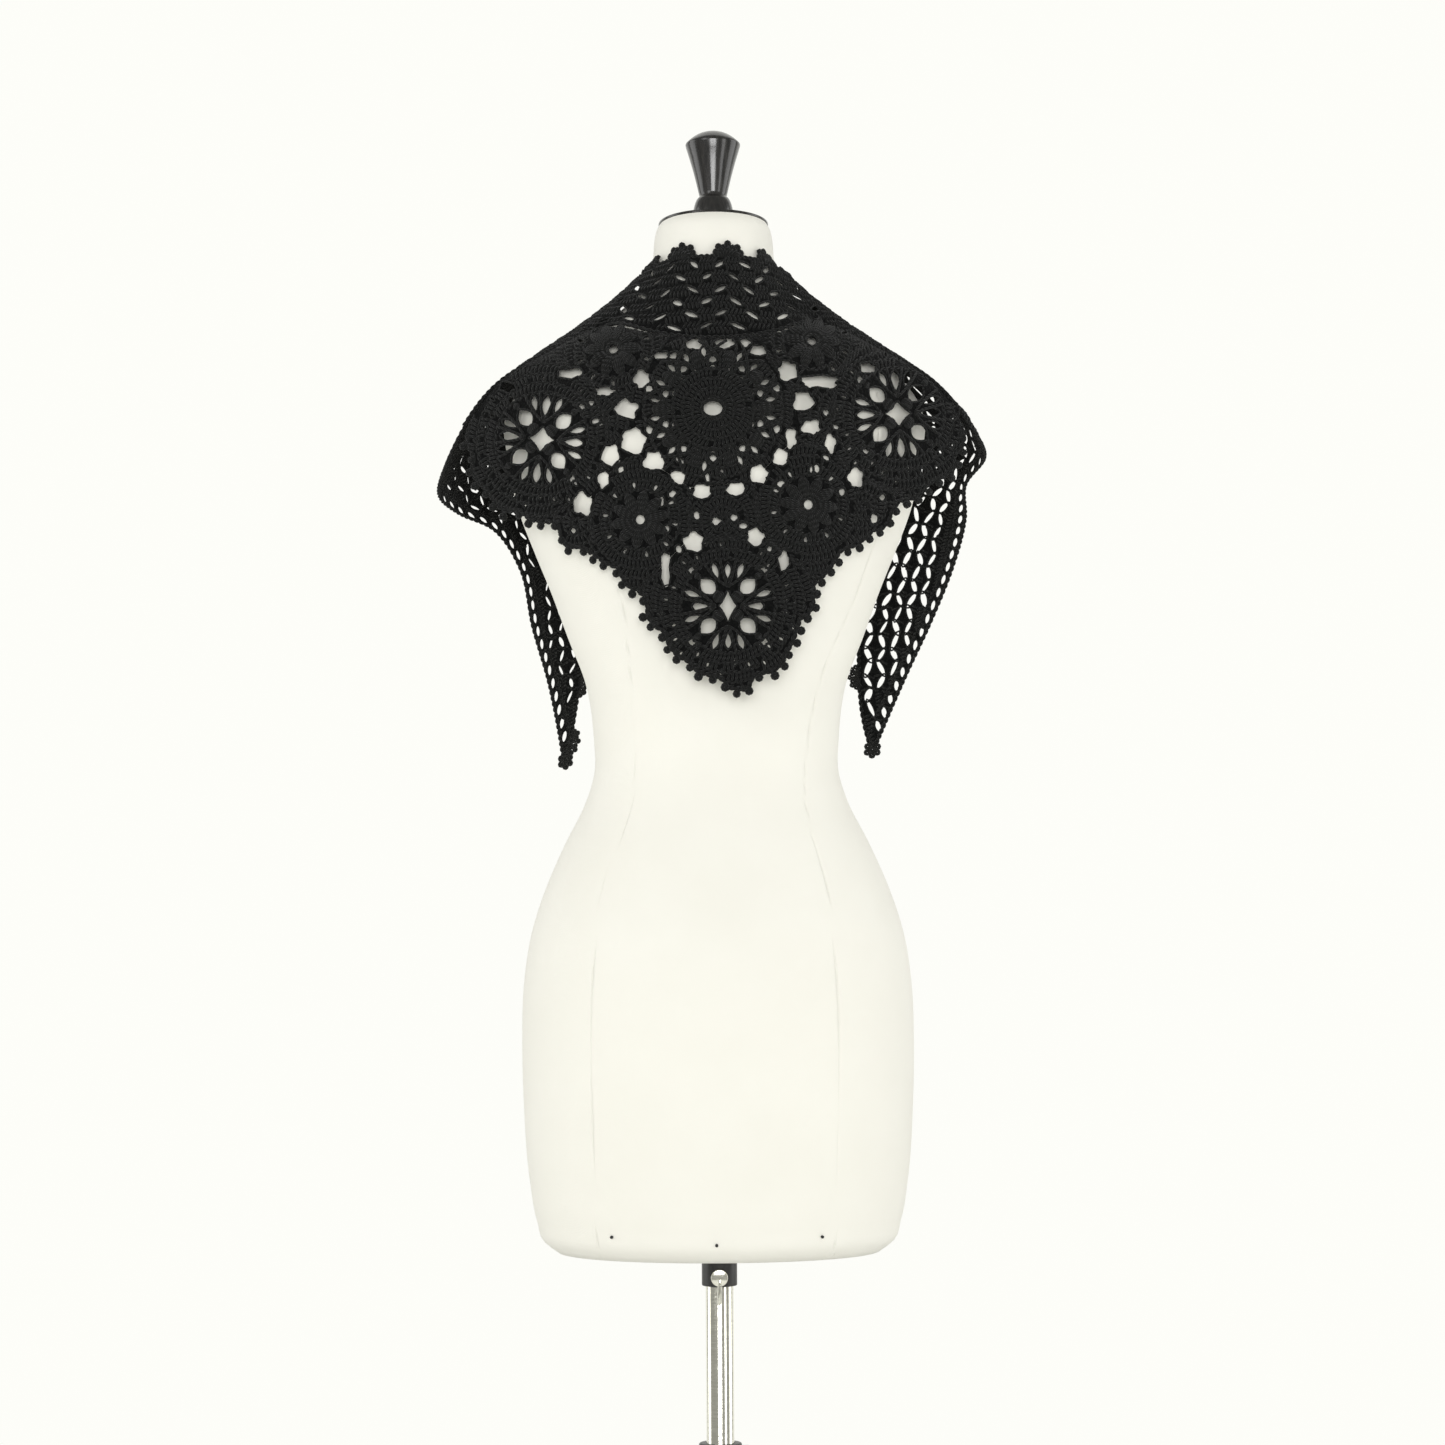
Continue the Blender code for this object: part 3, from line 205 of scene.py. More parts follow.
# Small gaps between the fans and arches of the fillers: x, z, width, height, slant in degrees
SMALL_GAPS = (
    (-0.035, 1.262, 0.0055, 0.005, 20.0),
    (-0.044, 1.256, 0.003, 0.0075, 0.0),
    (-0.078, 1.283, 0.006, 0.004, 30.0),
    (-0.029, 1.29, 0.008, 0.003, -35.0),
    (-0.006, 1.276, 0.003, 0.009, 10.0),
    (0.006, 1.278, 0.003, 0.009, -10.0),
    (0.001, 1.239, 0.008, 0.006, 0.0),
    (0.016, 1.242, 0.005, 0.005, 0.0),
    (-0.015, 1.244, 0.0045, 0.006, 15.0),
    (0.0235, 1.235, 0.006, 0.004, 0.0),
    (0.055, 1.27, 0.006, 0.0045, 25.0),
    (0.085, 1.283, 0.004, 0.006, 10.0),
    (0.093, 1.292, 0.005, 0.003, -30.0),
    (0.106, 1.264, 0.0045, 0.006, 0.0),
    (0.093, 1.33, 0.004, 0.006, 20.0),
    (0.101, 1.318, 0.005, 0.0035, -20.0),
    (-0.099, 1.324, 0.006, 0.004, 10.0),
    (-0.103, 1.339, 0.0045, 0.004, 0.0),
    (-0.04, 1.233, 0.004, 0.005, 0.0),
    (-0.03, 1.216, 0.004, 0.0055, 20.0),
    (0.045, 1.216, 0.0035, 0.006, -15.0),
    (0.133, 1.242, 0.0055, 0.008, 0.0),
    (0.14, 1.26, 0.0045, 0.0045, 0.0),
    (-0.118, 1.233, 0.0035, 0.0035, 0.0),
)

# The back seams of the form's cover, by height: left and right distance from the middle
SEAMS = (
    (0.618, -0.101, 0.096),
    (0.6467, -0.103, 0.0977),
    (0.7972, -0.1055, 0.1019),
    (0.839, -0.1052, 0.1005),
    (0.9226, -0.0981, 0.0942),
    (1.0146, -0.07, 0.0747),
    (1.0396, -0.0681, 0.076),
    (1.1065, -0.072, 0.0887),
    (1.1818, -0.078, 0.1209),
    (1.23, -0.0815, 0.138),
)


class Kind(Enum):
    """The kinds of crochet motif in the back panel."""

    MEDALLION = "medallion"
    FLOWER = "flower"
    DAISY = "daisy"
    ROSETTE = "rosette"


class Hold(Enum):
    """How a cloth piece is held."""

    DRAPED = "draped"
    HUNG = "hung"


def smooth_value(places: Array, values: Array, at: Array) -> Array:
    """Read a table between its rows along a smooth cubic.

    Args:
        places: The rows' places, rising.
        values: The rows' values.
        at: The places to read.

    Returns:
        The value at each place.
    """
    places = np.asarray(places, float)
    values = np.asarray(values, float)
    at = np.clip(np.asarray(at, float), places[0], places[-1])
    row = np.clip(np.searchsorted(places, at, side="right") - 1, 0, len(places) - 2)
    step = places[row + 1] - places[row]
    part = (at - places[row]) / step
    slopes = np.gradient(values, places, axis=0)
    if values.ndim > 1:
        step = step[..., None]
        part = part[..., None]
    start = values[row] * (2 * part**3 - 3 * part**2 + 1)
    start = start + slopes[row] * step * (part**3 - 2 * part**2 + part)
    end = values[row + 1] * (3 * part**2 - 2 * part**3)
    return start + end + slopes[row + 1] * step * (part**3 - part**2)


def normalised(vectors: Array) -> Array:
    """Scale each vector to a length of one.

    Args:
        vectors: Vectors along the last axis.

    Returns:
        The unit vectors.
    """
    return vectors / np.maximum(np.linalg.norm(vectors, axis=-1, keepdims=True), 1e-12)


def inside(points: Array, outline: Outline) -> Array:
    """Tell which points lie in an outline.

    Args:
        points: Rows of two coordinates.
        outline: The corners in order.

    Returns:
        True for each point inside.
    """
    corners = np.array(outline)
    following = np.roll(corners, -1, axis=0)
    found = np.zeros(len(points), bool)
    for (ax, ay), (bx, by) in zip(corners, following):
        if ay == by:
            continue
        crosses = (ay > points[:, 1]) != (by > points[:, 1])
        at = ax + (points[:, 1] - ay) / (by - ay) * (bx - ax)
        found ^= crosses & (points[:, 0] < at)
    return found


def resampled(outline: Outline | Array, count: int, closed: bool = True) -> Array:
    """Space points evenly along an outline.

    Args:
        outline: The corners in order.
        count: How many points to return.
        closed: Whether the last corner joins the first.

    Returns:
        The evenly spaced points.
    """
    corners = np.asarray(outline, float)
    if closed:
        corners = np.vstack([corners, corners[:1]])
    lengths = np.concatenate([[0.0], np.cumsum(np.linalg.norm(np.diff(corners, axis=0), axis=1))])
    at = np.linspace(0.0, lengths[-1], count, endpoint=not closed)
    return np.stack([np.interp(at, lengths, corners[:, axis]) for axis in (0, 1)], axis=1)


def runs_of(mask: Array, least: int) -> list[Array]:
    """Find the stretches of True in a closed row.

    Args:
        mask: The row.
        least: The fewest points that make a stretch.

    Returns:
        The indexes of each stretch in order.
    """
    if mask.all() or not mask.any():
        return [np.arange(len(mask))] if mask.all() else []
    order = (np.arange(len(mask)) + int(np.argmax(~mask))) % len(mask)
    parts = np.split(order, np.flatnonzero(~mask[order]))
    return [part[mask[part]] for part in parts if mask[part].sum() >= least]


def length_of(outline: Outline | Array, closed: bool = True) -> float:
    """Measure an outline.

    Args:
        outline: The corners in order.
        closed: Whether the last corner joins the first.

    Returns:
        The length.
    """
    corners = np.asarray(outline, float)
    if closed:
        corners = np.vstack([corners, corners[:1]])
    return float(np.linalg.norm(np.diff(corners, axis=0), axis=1).sum())


def clipped(outline: Outline, point: tuple[float, float], normal: tuple[float, float]) -> Outline:
    """Keep the part of an outline behind a line.

    Args:
        outline: The corners in order.
        point: A point on the line.
        normal: The line's direction outwards.

    Returns:
        The corners that are left, with new ones on the line.
    """
    kept: Outline = []
    for index, start in enumerate(outline):
        end = outline[(index + 1) % len(outline)]
        before = (start[0] - point[0]) * normal[0] + (start[1] - point[1]) * normal[1]
        after = (end[0] - point[0]) * normal[0] + (end[1] - point[1]) * normal[1]
        if before <= 0.0:
            kept.append(start)
        if (before < 0.0 < after) or (after < 0.0 < before):
            share = before / (before - after)
            across = start[0] + (end[0] - start[0]) * share
            upward = start[1] + (end[1] - start[1]) * share
            kept.append((across, upward))
    return kept


@dataclass
class FormShape:
    """The dress form's shape, which the cloth hangs on."""

    power: float = 2.1
    neck_top: float = 1.496
    cap_tilt: float = math.radians(10.0)
    clearance: float = 0.0011
    table: Array = field(default_factory=lambda: np.array(FORM_SECTIONS))

    def rise(self, height: Array | float) -> Array:
        """Return the backward rise of the ring at a height."""
        top = math.tan(self.cap_tilt)
        return np.interp(height, (0.0, 1.430, 1.455, self.neck_top, 2.0), (0.0, 0.0, 0.15, top, top))

    def excess(self, points: Array) -> Array:
        """Measure how far points lie outside the form.

        Args:
            points: Rows of three coordinates.

        Returns:
            The level distance outside the form.
        """
        x, y, z = points[:, 0], points[:, 1], points[:, 2]
        ring = z + self.rise(z) * y
        sizes = smooth_value(self.table[:, 0], self.table[:, 1:], ring)
        depth = np.where(y < 0.0, sizes[:, 1], sizes[:, 2])
        norm = (np.abs(x) / sizes[:, 0]) ** self.power + (np.abs(y) / depth) ** self.power
        norm = np.maximum(norm, 1e-9) ** (1.0 / self.power)
        return np.hypot(x, y) * (1.0 - 1.0 / norm)

    def slope(self, points: Array, reach: float = 0.002) -> Array:
        """Return the gradient of the excess at each point."""
        steps = np.eye(3) * reach
        columns = [self.excess(points + step) - self.excess(points - step) for step in steps]
        return np.stack(columns, axis=1) / (2.0 * reach)

    def outward(self, points: Array) -> Array:
        """Return the unit direction that leads away from the form."""
        return normalised(self.slope(points))

    def lifted(self, points: Array, rounds: int = 5) -> Array:
        """Move the points that are too near the form out to the clearance.

        Args:
            points: Rows of three coordinates.
            rounds: How often to correct them.

        Returns:
            The moved points.
        """
        points = points.copy()
        for _ in range(rounds):
            gradient = self.slope(points)
            steepness = np.linalg.norm(gradient, axis=1)
            push = np.maximum(self.clearance - self.excess(points) / steepness, 0.0)
            points += gradient / steepness[:, None] * push[:, None]
        return points


@dataclass
class BandShape:
    """The band's draped surface, charted by places along it and distances from its neck edge."""

    form: FormShape
    corner: int = 5
    hanging: int = 8

    def __post_init__(self) -> None:
        """Measure the sections' places along the band."""
        self.rows = np.array(LEFT_SECTIONS[::-1] + (NAPE_SECTION,) + RIGHT_SECTIONS)
        middles = (self.rows[:, 0:3] + self.rows[:, 3:6]) / 2.0
        steps = np.linalg.norm(np.diff(middles, axis=0), axis=1)
        self.places = np.concatenate([[0.0], np.cumsum(steps)])
        self.places -= self.places[len(LEFT_SECTIONS)]

    def place(self, section: int) -> float:
        """Return the place of a section, counted from the nape, negative to the left."""
        return float(self.places[len(LEFT_SECTIONS) + section])

    def width(self, along: float) -> float:
        """Return the distance from the neck edge to the outer edge."""
        row = smooth_value(self.places, self.rows, np.array(along))
        return float(np.linalg.norm(row[3:6] - row[0:3]))

    def surface(self, chart: Array) -> Array:
        """Return points on the draped band.

        Args:
            chart: Rows of a place along the band and a distance from its neck edge.

        Returns:
            Rows of three coordinates.
        """
        rows = smooth_value(self.places, self.rows, chart[:, 0])
        neck, edge, bulge = rows[:, 0:3], rows[:, 3:6], rows[:, 6]
        across = chart[:, 1] / np.linalg.norm(edge - neck, axis=1)
        points = neck + (edge - neck) * across[:, None]
        beyond = chart[:, 0] - np.clip(chart[:, 0], self.places[0], self.places[-1])
        ends = (self.rows[[1, -1], :3] + self.rows[[1, -1], 3:6] - self.rows[[0, -2], :3] - self.rows[[0, -2], 3:6]) / 2.0
        points = points + normalised(ends)[(beyond > 0.0).astype(int)] * beyond[:, None]
        middle = np.clip(across, 0.0, 1.0)
        rounding = bulge * 4.0 * middle * (1.0 - middle)
        return self.form.lifted(points + self.form.outward(points) * rounding[:, None])


@dataclass
class PanelShape:
    """The panel's draped surface, charted by its places as seen from behind."""

    form: FormShape
    band: BandShape
    shoulder_drop: float = 0.085
    band_gap: float = 0.0009

    def top(self, x: Array) -> tuple[Array, Array]:
        """Return the depth and height of the band's outer edge."""
        first = len(LEFT_SECTIONS) - self.band.corner
        rows = self.band.rows[first : len(LEFT_SECTIONS) + self.band.corner + 1]
        edge = smooth_value(rows[:, 3], rows[:, 4:6], x)
        return edge[..., 0], edge[..., 1]

    def surface(self, chart: Array) -> Array:
        """Return points on the draped panel.

        Args:
            chart: Rows of x and z.

        Returns:
            Rows of three coordinates.
        """
        x, z = chart[:, 0], chart[:, 1]
        top_y, top_z = self.top(x)
        depths = np.array(PANEL_DEPTHS)
        full = smooth_value(depths[:, 0], depths[:, 1], np.abs(x))
        fall = np.clip((top_z - z) / self.shoulder_drop, 0.0, 1.0)
        round_over = np.sqrt(1.0 - (1.0 - fall) ** 2)
        y = top_y - (full + top_y) * round_over
        return self.form.lifted(np.stack([x, y, z], axis=1))

    def above(self) -> Outline:
        """Return the region over the panel, which belongs to the band."""
        nape = len(LEFT_SECTIONS)
        low = self.band.rows[nape - self.band.corner, 3]
        high = self.band.rows[nape + self.band.corner, 3]
        xs = np.linspace(-0.30, 0.30, 121)
        _, heights = self.top(np.clip(xs, low, high))
        lower = [(float(x), float(z) - self.band_gap) for x, z in zip(xs, heights)]
        return lower + [(0.30, 1.60), (-0.30, 1.60)]


class Nodes:
    """A material's node tree, built step by step."""

    def __init__(self, name: str, colour: tuple[float, float, float], roughness: float, metallic: float = 0.0) -> None:
        """Start a Principled material.

        Args:
            name: The finish's name.
            colour: Its base colour.
            roughness: Its roughness.
            metallic: How metallic it is.
        """
        self.material = bpy.data.materials.new(name)
        self.material.use_nodes = True
        self.tree = self.material.node_tree
        self.shader = self.tree.nodes["Principled BSDF"]
        self.shader.inputs["Base Color"].default_value = (*colour, 1.0)
        self.shader.inputs["Roughness"].default_value = roughness
        self.shader.inputs["Metallic"].default_value = metallic

    def add(self, kind: str, **inputs: object) -> bpy.types.Node:
        """Add a node and set or link its inputs.

        Args:
            kind: The node's type, without its prefix.
            **inputs: Values or output sockets by input name, or by i and its number.

        Returns:
            The new node.
        """
        node = self.tree.nodes.new("ShaderNode" + kind)
        for name, value in inputs.items():
            if name.startswith("set_"):
                setattr(node, name[4:], value)
                continue
            socket = node.inputs[int(name[1:])] if name[1:].isdigit() else node.inputs[name.replace("_", " ")]
            if isinstance(value, bpy.types.NodeSocket):
                self.tree.links.new(value, socket)
            else:
                socket.default_value = value
        return node

    def math(self, operation: str, first: object, second: object = 0.0) -> bpy.types.NodeSocket:
        """Return the result of a Math node."""
        return self.add("Math", set_operation=operation, i0=first, i1=second).outputs[0]

    def place(self) -> bpy.types.NodeSocket:
        """Return the Object coordinates."""
        return self.add("TexCoord").outputs["Object"]

    def noise(self, scale: float, detail: float = 2.0, vector: object = None) -> bpy.types.NodeSocket:
        """Return a noise value from 0 to 1."""
        where = self.place() if vector is None else vector
        return self.add("TexNoise", Vector=where, Scale=scale, Detail=detail).outputs["Fac"]

    def colours(self, factor: object, *stops: tuple[float, tuple[float, float, float]]) -> None:
        """Drive the base colour from a factor through colour stops."""
        ramp = self.add("ValToRGB", i0=factor)
        for index, (position, colour) in enumerate(stops):
            stop = ramp.color_ramp.elements[index] if index < 2 else ramp.color_ramp.elements.new(position)
            stop.position = position
            stop.color = (*colour, 1.0)
        self.tree.links.new(ramp.outputs[0], self.shader.inputs["Base Color"])

    def spread(self, factor: object, low: float, high: float, target: str = "Roughness") -> None:
        """Drive a shader input from a factor between two values."""
        node = self.add("MapRange", i0=factor, i3=low, i4=high)
        self.tree.links.new(node.outputs[0], self.shader.inputs[target])

    def bump(self, height: object, distance: float, strength: float = 1.0) -> None:
        """Raise the surface by a height."""
        node = self.add("Bump", Height=height, Distance=distance, Strength=strength)
        self.tree.links.new(node.outputs["Normal"], self.shader.inputs["Normal"])


@dataclass(frozen=True)
class CrochetCotton:
    """Heavy matte cotton yarn of three plies."""

    name: str = "crochet_cotton"
    colour: tuple[float, float, float] = (0.0060, 0.0063, 0.0060)
    ply_pitch: float = 0.0042
    plies: float = 3.0
    sheen: float = 0.09

    def make(self) -> bpy.types.Material:
        """Return the material, with plies that wind along each strand, darker in the grooves between plies as painted
        shade.
        """
        nodes = Nodes(self.name, self.colour, 0.9)
        parts = nodes.add("SeparateXYZ", i0=nodes.add("UVMap", set_uv_map="yarn").outputs[0])
        wind = nodes.math("MULTIPLY", parts.outputs[1], math.tau / self.ply_pitch)
        around = nodes.math("MULTIPLY", parts.outputs[0], math.tau * self.plies)
        ply = nodes.math("SINE", nodes.math("ADD", wind, around))
        fuzz = nodes.noise(2600.0, 4.0)
        # Base colour: the ply grooves are darker, which is painted shade; the noise adds a random tone to the yarn.
        nodes.colours(
            nodes.math("ADD", nodes.math("MULTIPLY", ply, 0.18), nodes.noise(900.0, 3.0)),
            (0.25, (0.0026, 0.0028, 0.0028)),
            (0.75, (0.0115, 0.0122, 0.0110)),
        )
        nodes.bump(nodes.math("ADD", ply, nodes.math("MULTIPLY", fuzz, 1.3)), 0.00035)
        nodes.shader.inputs["Sheen Weight"].default_value = self.sheen
        nodes.shader.inputs["Sheen Roughness"].default_value = 0.55
        nodes.shader.inputs["Specular IOR Level"].default_value = 0.16
        return nodes.material


@dataclass(frozen=True)
class LaceGround:
    """The close stitches between the raised ones, in the same cotton."""

    name: str = "lace_ground"
    colour: tuple[float, float, float] = (0.0070, 0.0074, 0.0072)

    def make(self) -> bpy.types.Material:
        """Return the material, with close knots of yarn, darker between the knots as painted shade."""
        nodes = Nodes(self.name, self.colour, 0.95)
        knots = nodes.add("TexVoronoi", Vector=nodes.place(), Scale=520.0).outputs["Distance"]
        # The base colour darkens towards the sunk edges between knots: painted shade.
        nodes.colours(knots, (0.15, (0.0060, 0.0063, 0.0060)), (0.75, (0.0020, 0.0022, 0.0022)))
        nodes.bump(nodes.math("MULTIPLY", knots, -1.0), 0.0008)
        nodes.shader.inputs["Sheen Weight"].default_value = 0.05
        nodes.shader.inputs["Specular IOR Level"].default_value = 0.1
        return nodes.material


@dataclass(frozen=True)
class WovenCover:
    """The form's fine ivory cloth with its sunk seams, darkened along them as painted shade."""

    name: str = "ivory_cover"
    colour: tuple[float, float, float] = (0.870, 0.862, 0.815)
    thread: float = 0.0007

    def make(self) -> bpy.types.Material:
        """Return the material, with warp, weft and seams, and painted shade in the seam grooves."""
        nodes = Nodes(self.name, self.colour, 0.8)
        place = nodes.add("SeparateXYZ", i0=nodes.place())
        across = nodes.math("ADD", place.outputs[0], place.outputs[1])
        warp = nodes.math("SINE", nodes.math("MULTIPLY", across, math.tau / self.thread))
        weft = nodes.math("SINE", nodes.math("MULTIPLY", place.outputs[2], math.tau / self.thread))
        seam = nodes.add("Attribute", set_attribute_name="seam").outputs["Fac"]
        near = nodes.math("DIVIDE", seam, 0.0011)
        seam_groove_and_shade = nodes.math("POWER", 2.718, nodes.math("MULTIPLY", nodes.math("MULTIPLY", near, near), -1.0))
        # Base colour: the seam grooves are darkened, which is painted shade; the noise is a random tone in the cloth.
        nodes.colours(
            nodes.math("ADD", nodes.math("MULTIPLY", nodes.noise(14.0, 3.0), 0.35), nodes.math("MULTIPLY", seam_groove_and_shade, 0.22)),
            (0.00, (0.935, 0.922, 0.850)),
            (1.00, (0.800, 0.780, 0.680)),
        )
        weave = nodes.math("MULTIPLY", nodes.math("ADD", warp, weft), 0.5)
        height = nodes.math("SUBTRACT", nodes.math("MULTIPLY", weave, 0.10), nodes.math("MULTIPLY", seam_groove_and_shade, 1.6))
        nodes.bump(nodes.math("ADD", height, nodes.math("MULTIPLY", nodes.noise(60.0, 2.0), 0.25)), 0.0005)
        nodes.shader.inputs["Sheen Weight"].default_value = 0.12
        return nodes.material


@dataclass(frozen=True)
class BlackLacquer:
    """Turned wood under black lacquer."""

    name: str = "black_lacquer"
    colour: tuple[float, float, float] = (0.0080, 0.0078, 0.0075)

    def make(self) -> bpy.types.Material:
        """Return the material, with faint grain under the gloss."""
        nodes = Nodes(self.name, self.colour, 0.2)
        stretched = nodes.add("Mapping", Vector=nodes.place(), Scale=(1.0, 1.0, 0.08))
        grain = nodes.noise(420.0, 4.0, stretched.outputs[0])
        nodes.colours(grain, (0.35, (0.0060, 0.0058, 0.0055)), (0.85, (0.0300, 0.0275, 0.0240)))
        nodes.spread(grain, 0.14, 0.34)
        nodes.bump(grain, 0.00012)
        nodes.shader.inputs["Coat Weight"].default_value = 0.45
        nodes.shader.inputs["Coat Roughness"].default_value = 0.08
        return nodes.material


@dataclass(frozen=True)
class Chrome:
    """Bright plated steel, with the fine rings that polishing leaves."""

    name: str = "bright_chrome"
    colour: tuple[float, float, float] = (0.80, 0.79, 0.71)

    def make(self) -> bpy.types.Material:
        """Return the material, with fine marks."""
        nodes = Nodes(self.name, self.colour, 0.12, 1.0)
        stretched = nodes.add("Mapping", Vector=nodes.place(), Scale=(0.15, 0.15, 1.0))
        marks = nodes.noise(900.0, 3.0, stretched.outputs[0])
        nodes.colours(marks, (0.2, (0.72, 0.71, 0.62)), (0.8, (0.92, 0.91, 0.81)))
        nodes.spread(marks, 0.07, 0.20)
        nodes.bump(marks, 0.00003)
        return nodes.material


@dataclass(frozen=True)
class SatinBlack:
    """Black paint on steel, a little worn along its edges."""

    name: str = "satin_black"
    colour: tuple[float, float, float] = (0.0110, 0.0110, 0.0115)

    def make(self) -> bpy.types.Material:
        """Return the material, with orange peel and thin wear."""
        nodes = Nodes(self.name, self.colour, 0.38)
        peel = nodes.noise(700.0, 2.0)
        edge = nodes.add("NewGeometry").outputs["Pointiness"]
        worn = nodes.math("ADD", nodes.math("MULTIPLY", peel, 0.10), edge)
        nodes.colours(worn, (0.52, (0.0105, 0.0105, 0.0110)), (0.72, (0.0600, 0.0580, 0.0550)))
        nodes.spread(peel, 0.30, 0.46)
        nodes.bump(peel, 0.00005)
        return nodes.material


@dataclass(frozen=True)
class PinSteel:
    """The dark steel of the pins."""

    name: str = "pin_steel"
    colour: tuple[float, float, float] = (0.05, 0.05, 0.05)

    def make(self) -> bpy.types.Material:
        """Return the material, with small scratches."""
        nodes = Nodes(self.name, self.colour, 0.35, 0.9)
        scratch = nodes.noise(3000.0, 3.0)
        nodes.spread(scratch, 0.25, 0.5)
        nodes.bump(scratch, 0.00002)
        return nodes.material


@dataclass
class Yarn:
    """Strands laid on a draped surface and gathered into one mesh."""

    surface: Surface
    form: FormShape
    middle: float = 0.00125
    sides: int = 5
    verts: list[Array] = field(default_factory=list)
    quads: list[Array] = field(default_factory=list)
    quad_places: list[Array] = field(default_factory=list)
    caps: list[Array] = field(default_factory=list)
    count: int = 0

    def lay(self, chart: Array, radius: float | Array, height: float | Array = 0.0, closed: bool = False) -> None:
        """Lay strands of equal point counts.

        Args:
            chart: Strands by points by two chart coordinates.
            radius: The strands' radius, or one for each point.
            height: How far above the cloth's middle, or one for each point.
            closed: Whether each strand is a loop.
        """
        chart = np.asarray(chart, float)
        strands, length = chart.shape[:2]
        if strands == 0:
            return
        base = self.surface(chart.reshape(-1, 2))
        normal = self.form.outward(base).reshape(strands, length, 3)
        lift = np.broadcast_to(np.asarray(height, float) + self.middle, (strands, length))
        points = base.reshape(strands, length, 3) + normal * lift[..., None]
        if closed:
            tangent = np.roll(points, -1, axis=1) - np.roll(points, 1, axis=1)
        else:
            tangent = np.gradient(points, axis=1)
        tangent = normalised(tangent)
        side = normalised(np.cross(tangent, normal))
        up = np.cross(side, tangent)
        angles = math.tau * np.arange(self.sides) / self.sides
        thick = np.broadcast_to(np.asarray(radius, float), (strands, length))[..., None, None]
        turn = np.cos(angles)[:, None] * side[:, :, None, :] + np.sin(angles)[:, None] * up[:, :, None, :]
        ring = points[:, :, None, :] + thick * turn
        steps = np.linalg.norm(np.diff(points, axis=1, append=points[:, :1]), axis=2)
        along = np.concatenate([np.zeros((strands, 1)), np.cumsum(steps, axis=1)], axis=1)
        self._join(ring, along, closed)

    def _join(self, ring: Array, along: Array, closed: bool) -> None:
        """Record the faces between the strands' rings."""
        strands, length, sides, _ = ring.shape
        index = np.arange(strands * length * sides).reshape(strands, length, sides) + self.count
        rows = np.arange(length if closed else length - 1)
        after = (rows + 1) % length
        beside = (np.arange(sides) + 1) % sides
        here, there = index[:, rows], index[:, after]
        quads = np.stack([here, here[:, :, beside], there[:, :, beside], there], axis=-1)
        start = np.broadcast_to(along[:, rows][:, :, None], quads.shape[:3])
        stop = np.broadcast_to(along[:, rows + 1][:, :, None], quads.shape[:3])
        near = np.broadcast_to(np.arange(sides) / sides, quads.shape[:3])
        far = near + 1.0 / sides
        places = np.stack([near, start, far, start, far, stop, near, stop], axis=-1)
        self.verts.append(ring.reshape(-1, 3))
        self.quads.append(quads.reshape(-1, 4))
        self.quad_places.append(places.reshape(-1, 8))
        if not closed:
            self.caps.append(index[:, 0, ::-1].reshape(-1, sides))
            self.caps.append(index[:, -1].reshape(-1, sides))
        self.count += ring.reshape(-1, 3).shape[0]

    def braid(self, path: Outline | Array, closed: bool, sway: float = 0.0011, pitch: float = 0.0056, raised: float = 0.0) -> None:
        """Lay two strands that cross along a path, as a chain of stitches does.

        Args:
            path: The path's corners.
            closed: Whether it is a loop.
            sway: How far each strand swings to the side.
            pitch: The length of one stitch.
            raised: How far it is lifted from the cloth.
        """
        stitches = max(4, round(length_of(path, closed) / pitch))
        count = stitches * 6 + (0 if closed else 1)
        points = resampled(path, count, closed)
        if closed:
            tangent = np.roll(points, -1, axis=0) - np.roll(points, 1, axis=0)
        else:
            tangent = np.gradient(points, axis=0)
        tangent = normalised(tangent)
        side = np.stack([-tangent[:, 1], tangent[:, 0]], axis=1)
        phase = math.tau * np.arange(count) / 12.0
        for sign in (0.0, math.pi):
            swing = sway * np.sin(phase + sign)[:, None]
            rise = 0.0006 * np.cos(phase + sign) + raised
            self.lay((points + side * swing)[None], 0.0010, rise[None], closed=closed and stitches % 2 == 0)

    def puff(self, start: Array, end: Array, width: float, strands: int = 5, lift: float = 0.0016) -> None:
        """Lay strands side by side that swell into a puff.

        Args:
            start: Where they gather first.
            end: Where they gather again.
            width: The puff's width.
            strands: How many strands.
            lift: How far the middle one rises.
        """
        share = np.linspace(0.0, 1.0, 7)
        swell = np.sin(np.clip(share * 0.92 + 0.06, 0.0, 1.0) * math.pi) ** 0.7
        line = start + (end - start) * share[:, None]
        along = normalised(end - start)
        side = np.array([-along[1], along[0]])
        places = np.linspace(-1.0, 1.0, strands)
        chart = line[None] + side * (places[:, None] * swell[None] * (width / 2.0 - 0.0010))[..., None]
        height = lift * swell[None] * np.sqrt(np.maximum(1.0 - (places * 0.9) ** 2, 0.0))[:, None]
        radius = width / strands * 0.62
        self.lay(chart, np.clip(radius * (0.55 + 0.5 * swell), 0.0007, 0.0016)[None], height)

    def knots(self, centres: Array, radius: float | Array, thick: float) -> None:
        """Lay small round picots.

        Args:
            centres: Rows of chart coordinates.
            radius: The radius of the picots' loops, or one for each.
            thick: The radius of its yarn.
        """
        centres = np.asarray(centres, float).reshape(-1, 2)
        turn = math.tau * np.arange(8) / 8.0
        loop = np.stack([np.cos(turn), np.sin(turn)], axis=1)
        reach = np.broadcast_to(np.asarray(radius, float), len(centres))[:, None, None]
        self.lay(centres[:, None, :] + loop[None] * reach, thick, 0.0, closed=True)

